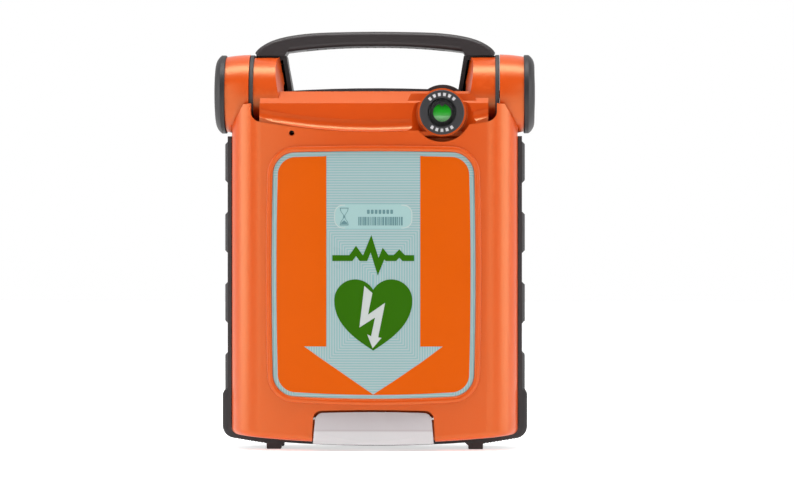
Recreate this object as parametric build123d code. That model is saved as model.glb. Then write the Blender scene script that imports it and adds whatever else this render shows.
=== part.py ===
from build123d import *
import os
from math import asin, cos, pi, sin, sqrt

# An automated external defibrillator: a charcoal rear housing with a rubber bumper and a carry
# handle, an orange front deck with the controls, and an orange lid that swings up on two barrel
# hinges and is held shut by a pull latch. Millimetres: +X right, -Y front, +Z up, and the origin
# under the middle of the object, on the surface that the feet stand on.

# ---------------------------------------------------------------- driving dimensions
WIDTH = 230.0
DEPTH = 90.0
HEIGHT = 300.0
WALL = 3.0
FRONT_Y = -DEPTH / 2
BACK_Y = DEPTH / 2

# Hinge line of the lid, along X.
HINGE_Y = 0.0
HINGE_Z = 255.0
CAP_R = 28.2
CAP_IN_X = 107.0
OUTER_BARREL_IN_X = 89.7
OUTER_BARREL_R = (28.6, 27.0)
RING_IN_X = 86.5
RING_OUT_X = 89.4
RING_R = 28.3
BLOCK_R = 26.8
PIN_R = 3.0
RUNNING_GAP = 0.05
BUSH_R = 5.0
BUSH_IN_X = 90.0
BUSH_OUT_X = 100.0

# Lid: a crowned front with rounded sides, seen from above, cut to its outline from the front.
LID_FACE_Y = FRONT_Y + 1.5
LID_HALF_W = 102.5
LID_CROWN_R = 600.0
LID_ROLL_R = 26.0
LID_RIM_Y = -13.3
LID_BOTTOM_Z = 5.8
LID_BOTTOM_R = 940.0
LID_CORNER_R = 5.6
LID_EDGE_ROUND = 4.6
LID_TOP_Z = 226.5
LID_TOP_R = 435.0
SHOULDER_X = 87.6
SHOULDER_Z = 247.3

# Status indicator, on a round boss of the deck.
IND_X = 48.6
IND_Z = 240.6
IND_BEZEL_R = 15.9
IND_LENS_R = 10.3
IND_WINDOW_R = 6.4
IND_BOSS_R = 17.1
IND_DIP_R = 21.1
IND_FACE_Y = -38.6

# Graphic panel on the lid, a bent sheet in a raised rim.
PANEL_HALF_W = 72.6
PANEL_Z = (37.4, 212.9)
PANEL_CORNER_R = 16.2
PANEL_BULGE = (1.5, 2.6, 1.0)  # sides, bottom, top
PANEL_RIM = 3.9
PANEL_RIM_RISE = 1.25

# Body behind the lid.
DECK_Y = -12.0
SPLIT_Y = -9.0
BODY_HALF_W = 102.9
BODY_BOTTOM_Z = 5.2
BODY_TOP_Z = 224.5
BODY_CORNER_R = 8.0
SPINE_TOP_Z = 258.6
SPINE_FRONT_Y = -20.0
PLATFORM_Y = -16.0

BUMPER_T = 2.7
BUMPER_Y = (-13.0, 30.0)
RIB_RISE = 2.1
RIB_PITCH = 50.4
RIB_LEN = 29.5
RIB_TOP_Z = 220.7
GUARD_X = 109.4
GUARD_TOP_Z = 42.6
GUARD_CORNER_R = 9.0
GUARD_BOTTOM = (-1.5, 560.0)  # height in the middle, radius
FOOT_X = 72.4

BATTERY = (92.0, 30.0, 64.0)
BATTERY_Z = 24.0
SLIP = 0.3


# ---------------------------------------------------------------- drawing helpers
def face(*edges):
    """A flat face from edges that meet end to end."""
    return make_face(Curve() + list(edges))


def front_prism(shape, y_front, y_back):
    """A front-view face (x, z) made solid from y_front back to y_back."""
    return extrude(Plane.XZ.offset(-y_back) * shape, y_back - y_front)


def top_prism(shape, z_low, z_high):
    """A top-view face (x, y) made solid from z_low to z_high."""
    return extrude(Plane.XY.offset(z_low) * shape, z_high - z_low)


def side_prism(shape, x_low, x_high):
    """A side-view face (y, z) made solid from x_low to x_high."""
    return extrude(Plane.YZ.offset(x_low) * shape, x_high - x_low)


def block(x, y, z):
    """A box between the given (low, high) pairs."""
    middle = Pos(sum(x) / 2, sum(y) / 2, sum(z) / 2)
    return middle * Box(x[1] - x[0], y[1] - y[0], z[1] - z[0])


def rod_y(x, z, radius, y_front, y_back):
    """A cylinder along Y."""
    return front_prism(Pos(x, z) * Circle(radius), y_front, y_back)


def rod_x(y, z, radius, x_low, x_high):
    """A cylinder along X."""
    return side_prism(Pos(y, z) * Circle(radius), x_low, x_high)


def mirrored(part):
    """The same part on the other side of the middle plane."""
    return mirror(part, Plane.YZ)


def flipped(point):
    return (-point[0], point[1])


def both_sides(part):
    return part + mirrored(part)


def turned_about_hinge(*edges):
    """A solid of revolution about the hinge line; the profile is (x, distance from the line)."""
    profile = Plane((0, HINGE_Y, HINGE_Z), x_dir=(1, 0, 0), z_dir=(0, -1, 0)) * face(*edges)
    return revolve(profile, Axis((0, HINGE_Y, HINGE_Z), (1, 0, 0)))


# ---------------------------------------------------------------- shared outlines
def front_outline(half_w, z_middle, z_top, corner, bottom_r=LID_BOTTOM_R):
    """Front view: straight sides and top, a shallow curved bottom and rounded bottom corners."""
    z_side = z_middle + bottom_r - sqrt(bottom_r**2 - half_w**2)
    bottom = ThreePointArc((-half_w, z_side), (0, z_middle), (half_w, z_side))
    rest = Polyline((half_w, z_side), (half_w, z_top), (-half_w, z_top), (-half_w, z_side))
    shape = face(bottom, *rest.edges())
    return fillet(shape.vertices().sort_by(Axis.Y)[:2], corner)


def lid_plan(inset):
    """Top view of the lid: a shallow crown that rolls off at both sides, moved in by inset."""
    crown, roll = LID_CROWN_R - inset, LID_ROLL_R - inset
    x_roll = LID_HALF_W - LID_ROLL_R
    half_angle = asin(x_roll / (LID_CROWN_R - LID_ROLL_R))
    y_crown = LID_FACE_Y + LID_CROWN_R
    y_roll = y_crown - (LID_CROWN_R - LID_ROLL_R) * cos(half_angle)
    join = (crown * sin(half_angle), y_crown - crown * cos(half_angle))
    turn = (half_angle + pi / 2) / 2
    middle = (x_roll + roll * sin(turn), y_roll - roll * cos(turn))
    side = (x_roll + roll, y_roll)
    back = SPLIT_Y + 4
    return face(
        ThreePointArc(flipped(join), (0, LID_FACE_Y + inset), join),
        ThreePointArc(join, middle, side),
        *Polyline(side, (side[0], back), (-side[0], back), flipped(side)).edges(),
        ThreePointArc(flipped(side), flipped(middle), flipped(join)),
    )


def lid_face_y(x, inset=0.0):
    """Depth of the lid's crowned front at x, inside the crown."""
    return LID_FACE_Y + LID_CROWN_R - sqrt((LID_CROWN_R - inset) ** 2 - x**2)


def lid_form(inset, back=LID_RIM_Y, top=SHOULDER_Z + 5):
    """The lid's outer form moved in by inset, open upwards."""
    plan = top_prism(lid_plan(inset), 0, top)
    half_w = LID_HALF_W + 1.5 - inset
    outline = front_outline(half_w, LID_BOTTOM_Z + inset, top, LID_CORNER_R - inset)
    form = plan & front_prism(outline, -2 * DEPTH, back)
    low = [
        e
        for e in form.edges()
        if e.center().Z < 50 and e.center().Y < back - 0.5 and e.bounding_box().size.X > 0.05
    ]
    return fillet(low, LID_EDGE_ROUND - inset)


def lid_top_line(drop=0.0, reach=SHOULDER_X):
    """Front view of the space over the lid's top edge: a sagging curve with a dip for the
    indicator and two rounded corners beside the hinge blocks."""
    middle = LID_TOP_Z - drop
    z_end = middle + LID_TOP_R - sqrt(LID_TOP_R**2 - reach**2)
    curve = ThreePointArc((-reach, z_end), (0, middle), (reach, z_end))
    top = 2 * HINGE_Z
    rest = Polyline((reach, z_end), (reach, top), (-reach, top), (-reach, z_end))
    shape = face(curve, *rest.edges())
    shape = fillet(shape.vertices().sort_by(Axis.Y)[:2], 7.5)
    return shape + Pos(IND_X, IND_Z) * Circle(IND_DIP_R + drop)


def crown_skin(outer, inner):
    """Space between two insets of the lid's front, as high as the graphic panel and its rim."""
    return top_prism(lid_plan(outer) - lid_plan(inner), 20, 225)


def panel_outline(grow):
    """Front view of the graphic panel: slightly bowed sides and round corners."""
    side, low, high = PANEL_BULGE
    x = PANEL_HALF_W + grow
    z0, z1 = PANEL_Z[0] - grow, PANEL_Z[1] + grow
    zm = (z0 + z1) / 2
    a, b = (-x + side, z0 + low), (x - side, z0 + low)
    c, d = (x - side, z1 - high), (-x + side, z1 - high)
    shape = face(
        ThreePointArc(a, (0, z0), b),
        ThreePointArc(b, (x, zm), c),
        ThreePointArc(c, (0, z1), d),
        ThreePointArc(d, (-x, zm), a),
    )
    return fillet(shape.vertices(), PANEL_CORNER_R + grow)


def outline(*points):
    return make_face(Polyline(*points, close=True))


def half_space_over_crease(drop=0.0):
    """Front view of the space over the sloping shoulder of the right lid arm."""
    inner, knee, outer = (81, SHOULDER_Z + 0.6), (93.2, SHOULDER_Z - 0.6), (103.8, 228.2)
    far = HINGE_Z + 60
    return outline(
        (inner[0], inner[1] - drop),
        (knee[0] - drop / 2, knee[1] - drop),
        (outer[0] - drop, outer[1] - drop / 2),
        (outer[0] + 20, outer[1] - drop / 2),
        (outer[0] + 20, far),
        (inner[0], far),
    )


# ---------------------------------------------------------------- lid and what rides on it
LATCH_HALF_W = (40.9, 42.8)  # at its top, at its bottom
LATCH_Z = (4.8, 27.1)
LATCH_CROWN = 0.8
LATCH_CREASE_Z = 14.8
LATCH_PIN = (-34.0, 23.5)
LATCH_PIN_R = 1.5
LATCH_GAP = 1.6
HOOK_HALF_W = 10.0
WELL_HALF_W = 48.0
HOOK_Z = (15.0, 17.0)
HOOK_NOSE_Y = (-11.8, -9.8)
HOOK_NOSE_Z = 20.5
WINDOW = (55.8, 17.3, 6.6)
WINDOW_Z = 166.6
SOUND_HOLE = (-58.0, 225.9, 1.9)
TRAY_HALF_W = 66.0
TRAY_Z = (38.0, 203.0)
TRAY_BACK_Y = -24.0
POUCH = (116.0, 11.0, 150.0)
POUCH_Y = (-36.4, -25.4)
POUCH_Z = 122.0


def barrel_solid():
    """Right outer barrel of the lid, before it is hollowed."""
    x0, x1 = OUTER_BARREL_IN_X, CAP_IN_X
    r0, r1 = OUTER_BARREL_R
    crown = ThreePointArc((x0, r0), ((x0 + x1) / 2, (r0 + r1) / 2 + 0.35), (x1, r1))
    return turned_about_hinge(crown, *Polyline((x1, r1), (x1, 0), (x0, 0), (x0, r0)).edges())


def barrel_hollow():
    """Space inside the right outer barrel, on both sides of its web and round its hub."""
    inside = rod_x(HINGE_Y, HINGE_Z, OUTER_BARREL_R[1] - WALL, 80, 110)
    web = rod_x(HINGE_Y, HINGE_Z, 40, 91, 94)
    hub = rod_x(HINGE_Y, HINGE_Z, BUSH_R + 3.5, BUSH_IN_X, BUSH_OUT_X)
    return inside - web - hub + rod_x(HINGE_Y, HINGE_Z, BUSH_R, 80, 110)


def tapered_tab(side_gap, low_gap, top_gap, corner):
    """Front view of the latch's outline, let out by the given gaps: bowed at top and bottom."""
    half_top, half_low = (half + side_gap for half in LATCH_HALF_W)
    low, high = LATCH_Z[0] + low_gap, LATCH_Z[1] + top_gap
    shape = face(
        ThreePointArc((-half_low, low + LATCH_CROWN), (0, low), (half_low, low + LATCH_CROWN)),
        Line((half_low, low + LATCH_CROWN), (half_top, high)),
        ThreePointArc((half_top, high), (0, high + LATCH_CROWN), (-half_top, high)),
        Line((-half_top, high), (-half_low, low + LATCH_CROWN)),
    )
    return fillet(shape.vertices().sort_by(Axis.Y)[-2:], corner)


def latch_cutout():
    """Front view of the opening in the lid for the latch."""
    return tapered_tab(LATCH_GAP, -LATCH_Z[0] - 5, LATCH_GAP, 6.0)


def latch_well():
    """Box behind the latch: its cheeks hold the pin, and the hook arm leaves by its back."""
    low, high = LID_BOTTOM_Z + 0.3, LATCH_Z[1] + 6.8
    well = block((-WELL_HALF_W, WELL_HALF_W), (-60, -26), (low, high))
    well -= block((-WELL_HALF_W + 2.4, WELL_HALF_W - 2.4), (-70, -27.5), (0, high - 1.6))
    well -= block((-HOOK_HALF_W - 1.5, HOOK_HALF_W + 1.5), (-30, -20), (0, HOOK_NOSE_Z + 1.0))
    well -= block((-60, 60), (-60, -39.5), (0, high - 1.6))
    return well - rod_x(*LATCH_PIN, LATCH_PIN_R, -60, 60)


def lid_shell():
    cavity = lid_form(WALL, back=LID_RIM_Y + 1)
    inner_walls = both_sides(block((SHOULDER_X, SHOULDER_X + WALL), (-60, 0), (221, 260)))
    roof = both_sides(front_prism(half_space_over_crease(WALL), -60, 0))
    shell = lid_form(0) - (cavity - inner_walls - roof)
    shell -= both_sides(front_prism(half_space_over_crease(), -60, 0))
    shell -= front_prism(lid_top_line(), -2 * DEPTH, 0)
    shell -= both_sides(rod_x(HINGE_Y, HINGE_Z, RING_R + 0.8, 80, OUTER_BARREL_IN_X))

    rim_zone = front_prism(panel_outline(PANEL_RIM) - panel_outline(0), -60, -30)
    rim = rim_zone & crown_skin(-PANEL_RIM_RISE, 1)
    edges = [e for e in rim.edges() if e.center().Y < lid_face_y(e.center().X) - 0.5]
    shell += fillet(edges, 0.7)
    shell -= front_prism(panel_outline(0), -60, -30) & crown_skin(-3, 0.7)
    shell -= front_prism(Pos(0, WINDOW_Z) * RectangleRounded(*WINDOW), -60, -30)
    shell -= rod_y(SOUND_HOLE[0], SOUND_HOLE[1], SOUND_HOLE[2], -60, -30)
    shell -= front_prism(latch_cutout(), -60, -5)

    shell += latch_well() & lid_form(0.5)
    shell += both_sides(barrel_solid())
    return shell - both_sides(barrel_hollow())


def label_panel():
    """Printed sheet in the raised rim, with a clear window of its own in its upper part."""
    sheet = front_prism(panel_outline(-0.15), -60, -30)
    sheet &= crown_skin(-0.35, 0.7)
    return sheet - front_prism(Pos(0, WINDOW_Z) * RectangleRounded(*WINDOW), -60, -30)


def pads_window():
    pane = front_prism(Pos(0, WINDOW_Z) * RectangleRounded(*WINDOW), -60, -30)
    return pane & crown_skin(-0.2, 2.2)


def lid_inner_tray():
    """Frame glued to the inside of the lid, with two bars that hold the pouch of pads."""
    height = TRAY_Z[1] - TRAY_Z[0]
    middle = Pos(0, sum(TRAY_Z) / 2)
    ring = middle * RectangleRounded(2 * TRAY_HALF_W, height, 9)
    ring -= middle * RectangleRounded(2 * TRAY_HALF_W - 4, height - 4, 7)
    frame = front_prism(ring, -60, TRAY_BACK_Y) & lid_form(WALL, back=TRAY_BACK_Y)
    half_w, y = TRAY_HALF_W - 1, TRAY_BACK_Y
    for z in (70, 174):
        frame += block((-half_w, half_w), (y - 1, y + 0.8), (z - 7, z + 7))
    return frame


def electrode_pouch():
    """Flat sealed bag with the two pads folded inside."""
    body = Pos(0, sum(POUCH_Y) / 2, POUCH_Z) * Box(*POUCH)
    return fillet(body.edges().filter_by(Axis.Y), 8)


def end_cap(side):
    x0 = CAP_IN_X
    profile = (
        Line((x0, CAP_R - 0.3), (x0 + 0.6, CAP_R)),
        Line((x0 + 0.6, CAP_R), (x0 + 3.3, CAP_R)),
        ThreePointArc((x0 + 3.3, CAP_R), (x0 + 6.2, CAP_R - 3.0), (x0 + 7.6, 20.0)),
        ThreePointArc((x0 + 7.6, 20.0), (WIDTH / 2 - 0.25, 14.0), (WIDTH / 2, 8)),
        *Polyline((WIDTH / 2, 8), (WIDTH / 2, 0), (x0 - 3, 0), (x0 - 3, 22), (x0 - 5, 22)).edges(),
        *Polyline((x0 - 5, 22), (x0 - 5, 23.6), (x0, 23.6), (x0, CAP_R - 0.3)).edges(),
    )
    cap = turned_about_hinge(*profile)
    return cap if side > 0 else mirrored(cap)


def hinge_bushes():
    bush = rod_x(HINGE_Y, HINGE_Z, BUSH_R, BUSH_IN_X, BUSH_OUT_X)
    bush -= rod_x(HINGE_Y, HINGE_Z, PIN_R + RUNNING_GAP, 80, 110)
    return [bush, mirrored(bush)]


def hinge_pins():
    """Headed pins, pressed into the housing; the lid turns on them."""
    pin = rod_x(HINGE_Y, HINGE_Z, PIN_R, 76, BUSH_OUT_X + 0.3)
    pin += rod_x(HINGE_Y, HINGE_Z, BUSH_R + 1, BUSH_OUT_X + 0.3, BUSH_OUT_X + 2)
    return [pin, mirrored(pin)]


def hinge_ring(side):
    ring = rod_x(HINGE_Y, HINGE_Z, RING_R, RING_IN_X, RING_OUT_X)
    ring = fillet(ring.edges().filter_by(GeomType.CIRCLE), 0.5)
    ring -= rod_x(HINGE_Y, HINGE_Z, PIN_R + 0.3, 80, 110)
    return ring if side > 0 else mirrored(ring)


def latch_lever():
    """Pull tab with a hook arm behind it and two ears on its pin."""
    low, high = LATCH_Z
    plate = outline(
        (-40.7, high + LATCH_CROWN), (-43.4, LATCH_CREASE_Z), (-45.6, low), (-42.6, low),
        (-40.9, LATCH_CREASE_Z - 0.4), (-38.4, high - 1.5), (-38.4, high + LATCH_CROWN),
    )
    plate = side_prism(plate, -50, 50) & front_prism(tapered_tab(0, 0, 0, 5.6), -60, -30)
    lever = plate & top_prism(lid_plan(-1.5), 0, 40)
    pin_y, pin_z = LATCH_PIN
    ear = outline((-40.5, pin_z - 7), (-40.5, pin_z + 3), (pin_y, pin_z + 3.2), (pin_y, pin_z - 3.2))
    for x in (-36, 33):
        lever += side_prism(ear + Pos(pin_y, pin_z) * Circle(3.2), x, x + 3)
    arm = outline(
        (-42.2, HOOK_Z[0]), (HOOK_NOSE_Y[1], HOOK_Z[0]), (HOOK_NOSE_Y[1], HOOK_NOSE_Z - 1),
        (HOOK_NOSE_Y[1] - 0.8, HOOK_NOSE_Z), (HOOK_NOSE_Y[0], HOOK_NOSE_Z),
        (HOOK_NOSE_Y[0], HOOK_Z[1]), (-41.0, HOOK_Z[1]),
    )
    lever += side_prism(arm, -HOOK_HALF_W, HOOK_HALF_W)
    return lever - rod_x(pin_y, pin_z, LATCH_PIN_R + RUNNING_GAP, -60, 60)


def latch_pin():
    return rod_x(*LATCH_PIN, LATCH_PIN_R, -WELL_HALF_W, WELL_HALF_W)


def latch_spring():
    """Torsion spring round the pin, drawn as the tube that its turns fill."""
    return rod_x(*LATCH_PIN, 2.9, -9, 9) - rod_x(*LATCH_PIN, LATCH_PIN_R + 0.3, -10, 10)


# ---------------------------------------------------------------- front deck
BAR_HALF_W = 81.5
COVER_IN_X = 69.0
PLATFORM = (92.0, 22.0, 208.0)  # half width, low z, high z
RABBET_Z = 254.3


def hinge_cheek(grow=0.0):
    """Solid on the outer side of the slanting cheek of the right hinge cover."""
    a = Vector(COVER_IN_X + grow, -BLOCK_R, 257)
    b = Vector(COVER_IN_X + grow, -2, 282)
    c = Vector(COVER_IN_X - 5 + grow, -2, 257)
    normal = (b - a).cross(c - a).normalized()
    if normal.X < 0:
        normal = -normal
    plane = Plane(origin=a, z_dir=normal)
    return extrude(plane * Rectangle(400, 400), 80)


def hinge_cover():
    """Right hinge cover: half a barrel with a slanting cheek, hollow behind."""
    front = block((62.9, RING_IN_X), (-40, -2), (200, 300))
    cover = rod_x(HINGE_Y, HINGE_Z, BLOCK_R, 60, RING_IN_X) & front & hinge_cheek()
    inside = rod_x(HINGE_Y, HINGE_Z, BLOCK_R - WALL, 60, RING_IN_X - WALL) & hinge_cheek(WALL)
    return cover - inside - rod_x(HINGE_Y, HINGE_Z, 8.4, 60, 90)


def deck_bar():
    """Hollow bar under the handle, with a bevelled top and a foot that flares to the lid's edge."""
    upper = outline(
        (SPLIT_Y, 214), (-33, 224), (-33, 235), (-31, 247.5),
        (-20.6, 256.3), (-20, 256.3), (-20, RABBET_Z), (SPLIT_Y, RABBET_Z),
    )
    bar = side_prism(upper, -BAR_HALF_W, BAR_HALF_W)
    axis_z = LID_TOP_Z + LID_TOP_R
    rise = LID_TOP_Z
    flare = face(
        Line((-31, rise + 9), (-33, rise + 9)),
        Line((-33, rise + 9), (-33, rise + 6.4)),
        ThreePointArc((-33, rise + 6.4), (-34.8, rise + 2.2), (-39, rise + 0.4)),
        Line((-39, rise + 0.4), (-41, rise + 0.4)),
        *Polyline((-41, rise + 0.4), (-41, rise - 4), (-31, rise - 4), (-31, rise + 9)).edges(),
    )
    flare = Plane.YZ * flare
    axis = Axis((0, 0, axis_z), (0, 1, 0))
    flare = revolve(flare, axis, 12) + revolve(flare, axis, -12)
    flare &= block((-BAR_HALF_W, BAR_HALF_W), (-60, 0), (200, 260))
    bar += flare & top_prism(lid_plan(WALL + 1.0), 200, 260)
    hollow = outline(
        (SPLIT_Y + 1, 217), (-29.5, 226), (-29.5, 235), (-27.8, 246.0), (-19, 251.3), (SPLIT_Y + 1, 251.3)
    )
    return bar - side_prism(hollow, -BAR_HALF_W + WALL, BAR_HALF_W - WALL)


def deck_flange():
    """Plate behind the lid: flat edge for the seal and a raised platform for the controls."""
    half_w, low, high = PLATFORM
    edge = front_outline(BODY_HALF_W - 0.4, BODY_BOTTOM_Z + 0.4, BODY_TOP_Z, BODY_CORNER_R)
    plate = front_prism(edge, DECK_Y, SPLIT_Y)
    plate += block((-RING_IN_X, RING_IN_X), (DECK_Y, SPLIT_Y), (220, 233))
    middle = Pos(0, (low + high) / 2)
    raised = front_prism(middle * RectangleRounded(2 * half_w, high - low, 8), PLATFORM_Y, SPLIT_Y)
    raised = fillet(raised.faces().sort_by(Axis.Y)[0].edges(), 1.5)
    inside = middle * RectangleRounded(2 * (half_w - WALL), high - low - 2 * WALL, 5)
    return plate + raised - front_prism(inside, PLATFORM_Y + WALL, SPLIT_Y)


SHOCK_BUTTON = (52.0, 104.0, 15.0)
INFO_BUTTON = (52.0, 62.0, 8.0)
SPEAKER = (56.0, 168.0, 22.0)
DISPLAY = (-26.0, 168.0, 84.0, 42.0)
PADS_SOCKET = (-58.0, 96.0, 32.0, 20.0)
DATA_PORT = (-77.0, 52.0, 16.0, 10.0)
CONNECTOR_PLATE = ((-88.0, -37.0), (38.0, 114.0))  # x and z
PANEL_FRONT_Y = PLATFORM_Y - 1.5
BUTTON_BOARD_Y = (-6.2, -4.6)
KEEPER_Y = (-14.2, -12.2)
KEEPER_Z = (19.0, 22.0)
KEEPER_BAY = (13.0, 9.8, 23.6)  # half width, low z, high z


def control_cuts(y_front, y_back, slack):
    """Openings for the controls, through the platform and its fascia."""
    cuts = rod_y(*SHOCK_BUTTON[:2], SHOCK_BUTTON[2] + slack, y_front, y_back)
    cuts += rod_y(*INFO_BUTTON[:2], INFO_BUTTON[2] + slack, y_front, y_back)
    for x, z, width, height in (PADS_SOCKET, DATA_PORT):
        shape = Pos(x, z) * RectangleRounded(width + 2 * slack, height + 2 * slack, 3)
        cuts += front_prism(shape, y_front, y_back)
    x, z, width, height = DISPLAY
    cuts += front_prism(Pos(x, z) * RectangleRounded(width - 8, height - 8, 2), y_front, y_back)
    return cuts


def connector_plate():
    """Plate let into the platform that holds the pads socket and the data port."""
    plate = block(CONNECTOR_PLATE[0], (PLATFORM_Y, PLATFORM_Y + WALL), CONNECTOR_PLATE[1])
    return plate - control_cuts(-17, -10, 0.4)


def speaker_slots(y_front, y_back):
    cuts = []
    for i in range(-3, 4):
        half = sqrt((SPEAKER[2] - 3) ** 2 - (5 * i) ** 2)
        slot = Pos(SPEAKER[0], SPEAKER[1] + 5 * i) * SlotOverall(2 * half, 2.2)
        cuts.append(front_prism(slot, y_front, y_back))
    return cuts


def front_deck():
    deck = deck_flange() + deck_bar() + both_sides(hinge_cover())
    boss = rod_y(IND_X, IND_Z, 26, -29, -25) & block((-80, 80), (-30, 0), (214, RABBET_Z))
    deck += boss
    valley = Plane.XZ.offset(30) * Pos(IND_X, IND_Z) * Circle(18.6)
    valley_top = Plane.XZ.offset(42) * Pos(IND_X, IND_Z) * Circle(33.6)
    deck -= loft([valley.face(), valley_top.face()]) & block((-80, 80), (-40, 0), (227, 270))
    deck += rod_y(IND_X, IND_Z, IND_BOSS_R, IND_FACE_Y, -20.4)
    deck -= rod_y(IND_X, IND_Z, IND_BEZEL_R - 1.4, -60, -31)
    deck -= rod_y(IND_X, IND_Z, IND_BEZEL_R, -60, IND_FACE_Y + 2.4)
    deck -= rod_y(IND_X, IND_Z, 11.5, -60, -26.2)
    deck -= block((IND_X - 7.6, IND_X + 7.6), (-30, -20), (IND_Z - 8, IND_Z + 8))
    deck -= block((IND_X - 9.8, IND_X + 17.4), (-25, -10), (IND_Z - 8, IND_Z + 8))
    deck -= rod_x(*DRUM[:2], COIL_R + 0.3, IND_X + 9.6, IND_X + 16.3)
    deck += drum_lugs()
    deck -= rod_y(SOUND_HOLE[0], SOUND_HOLE[1] + 0.6, 1.5, -60, -28)
    deck -= control_cuts(-17, SPLIT_Y, 0.4)
    deck -= rod_y(SPEAKER[0], SPEAKER[1], SPEAKER[2] - 2.6, -17, SPLIT_Y)
    deck -= block(CONNECTOR_PLATE[0], (PLATFORM_Y, PLATFORM_Y + WALL), CONNECTOR_PLATE[1])
    for x, z in board_pillar_spots():
        deck += rod_y(x, z, 2.0, PLATFORM_Y + WALL, BUTTON_BOARD_Y[0])
    half, low, high = KEEPER_BAY
    bay = block((-half - 3, half + 3), (-15, SPLIT_Y + 2), (low - 1.3, high + 1.4))
    deck += bay - block((-half - 4, half + 4), (DECK_Y, SPLIT_Y), (0, 60))
    deck -= block((-half, half), (-16, SPLIT_Y + 0.5), (low, high))
    deck -= block((-15, 15), KEEPER_Y, KEEPER_Z)
    for x, z in SCREW_SPOTS:
        deck -= both_sides(rod_y(x, z, 1.6, -11.4, SPLIT_Y + 1))
    return deck


# ---------------------------------------------------------------- rear housing
SCREW_SPOTS = ((93.3, 34), (93.3, 98), (93.3, 160), (93.3, 212))
SEAT_Y = 10.0
HANDLE_Y = (-7.0, 19.0)
FOOT_Z = 282.6


def housing_form(inset):
    """Outer form of the rear housing, moved in by inset; it is open to the front."""
    front = SPLIT_Y if inset == 0 else SPLIT_Y - 2
    half_w, low, high = BODY_HALF_W - inset, BODY_BOTTOM_Z + inset, BODY_TOP_Z - inset
    shape = front_outline(half_w, low, high, BODY_CORNER_R - inset)
    main = front_prism(shape, front, BACK_Y - inset)
    main = fillet(main.faces().sort_by(Axis.Y)[-1].edges(), 7 - inset)
    spine = outline(
        (front, 205), (front, SPINE_TOP_Z - inset), (17 - inset / 3, SPINE_TOP_Z - inset),
        (BACK_Y - inset, 230 - inset), (BACK_Y - inset, 205),
    )
    spine = side_prism(spine, -RING_IN_X + inset, RING_IN_X - inset)
    spine = fillet(spine.edges().filter_by(Axis.X).sort_by(Axis.Z)[-3:], 5)
    crown = face(
        ThreePointArc((-90, 254.6 - inset), (0, SPINE_TOP_Z - inset), (90, 254.6 - inset)),
        *Polyline((90, 254.6 - inset), (90, 200), (-90, 200), (-90, 254.6 - inset)).edges(),
    )
    spine &= front_prism(crown, -60, 60)
    return main + spine + both_sides(hinge_block(inset))


def hinge_block(inset):
    """Right block behind the hinge cover, with a flat seat for the handle's foot."""
    front = -2.0 if inset == 0 else -10.0
    seat_back, heel = HANDLE_Y[1] - inset, BACK_Y - 6 - inset
    top = FOOT_Z - inset
    seat = outline((front, HINGE_Z), (front, top), (seat_back, top), (seat_back, HINGE_Z))
    behind = outline((front, 200), (front, 300), (50, 300), (50, 200))
    round_back = Pos(HINGE_Y, HINGE_Z) * Circle(BLOCK_R - inset) & behind
    foot = outline((front, 215), (front, HINGE_Z), (BLOCK_R - inset, HINGE_Z), (heel, 232), (heel, 215))
    block_form = side_prism(seat + round_back + foot, 55, RING_IN_X - inset)
    inner, over = 59.8 + inset, FOOT_Z + 5
    front_view = outline((inner, 210), (inner, 257.5), (inner + 4.9, over), (100, over), (100, 210))
    return block_form & front_prism(front_view, -60, 60)


CONTACT_X = (-10.5, -3.5, 3.5, 10.5)
CONTACT_WALL_Y = (BACK_Y - BATTERY[1] - SLIP - 2.4, BACK_Y - BATTERY[1] - SLIP)
CONTACT_Z = (53.0, 59.0)
HANDLE_SCREW_X = (70.0, 78.5)
HANDLE_SCREW_Y = 9.0
HANDLE_SCREW_R = 1.6


def battery_bay(grow):
    width, depth, height = BATTERY
    half = width / 2 + SLIP + grow
    low, high = BATTERY_Z - SLIP - grow, BATTERY_Z + height + SLIP + grow
    return block((-half, half), (BACK_Y - depth - SLIP - grow, BACK_Y + 1), (low, high))


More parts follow.
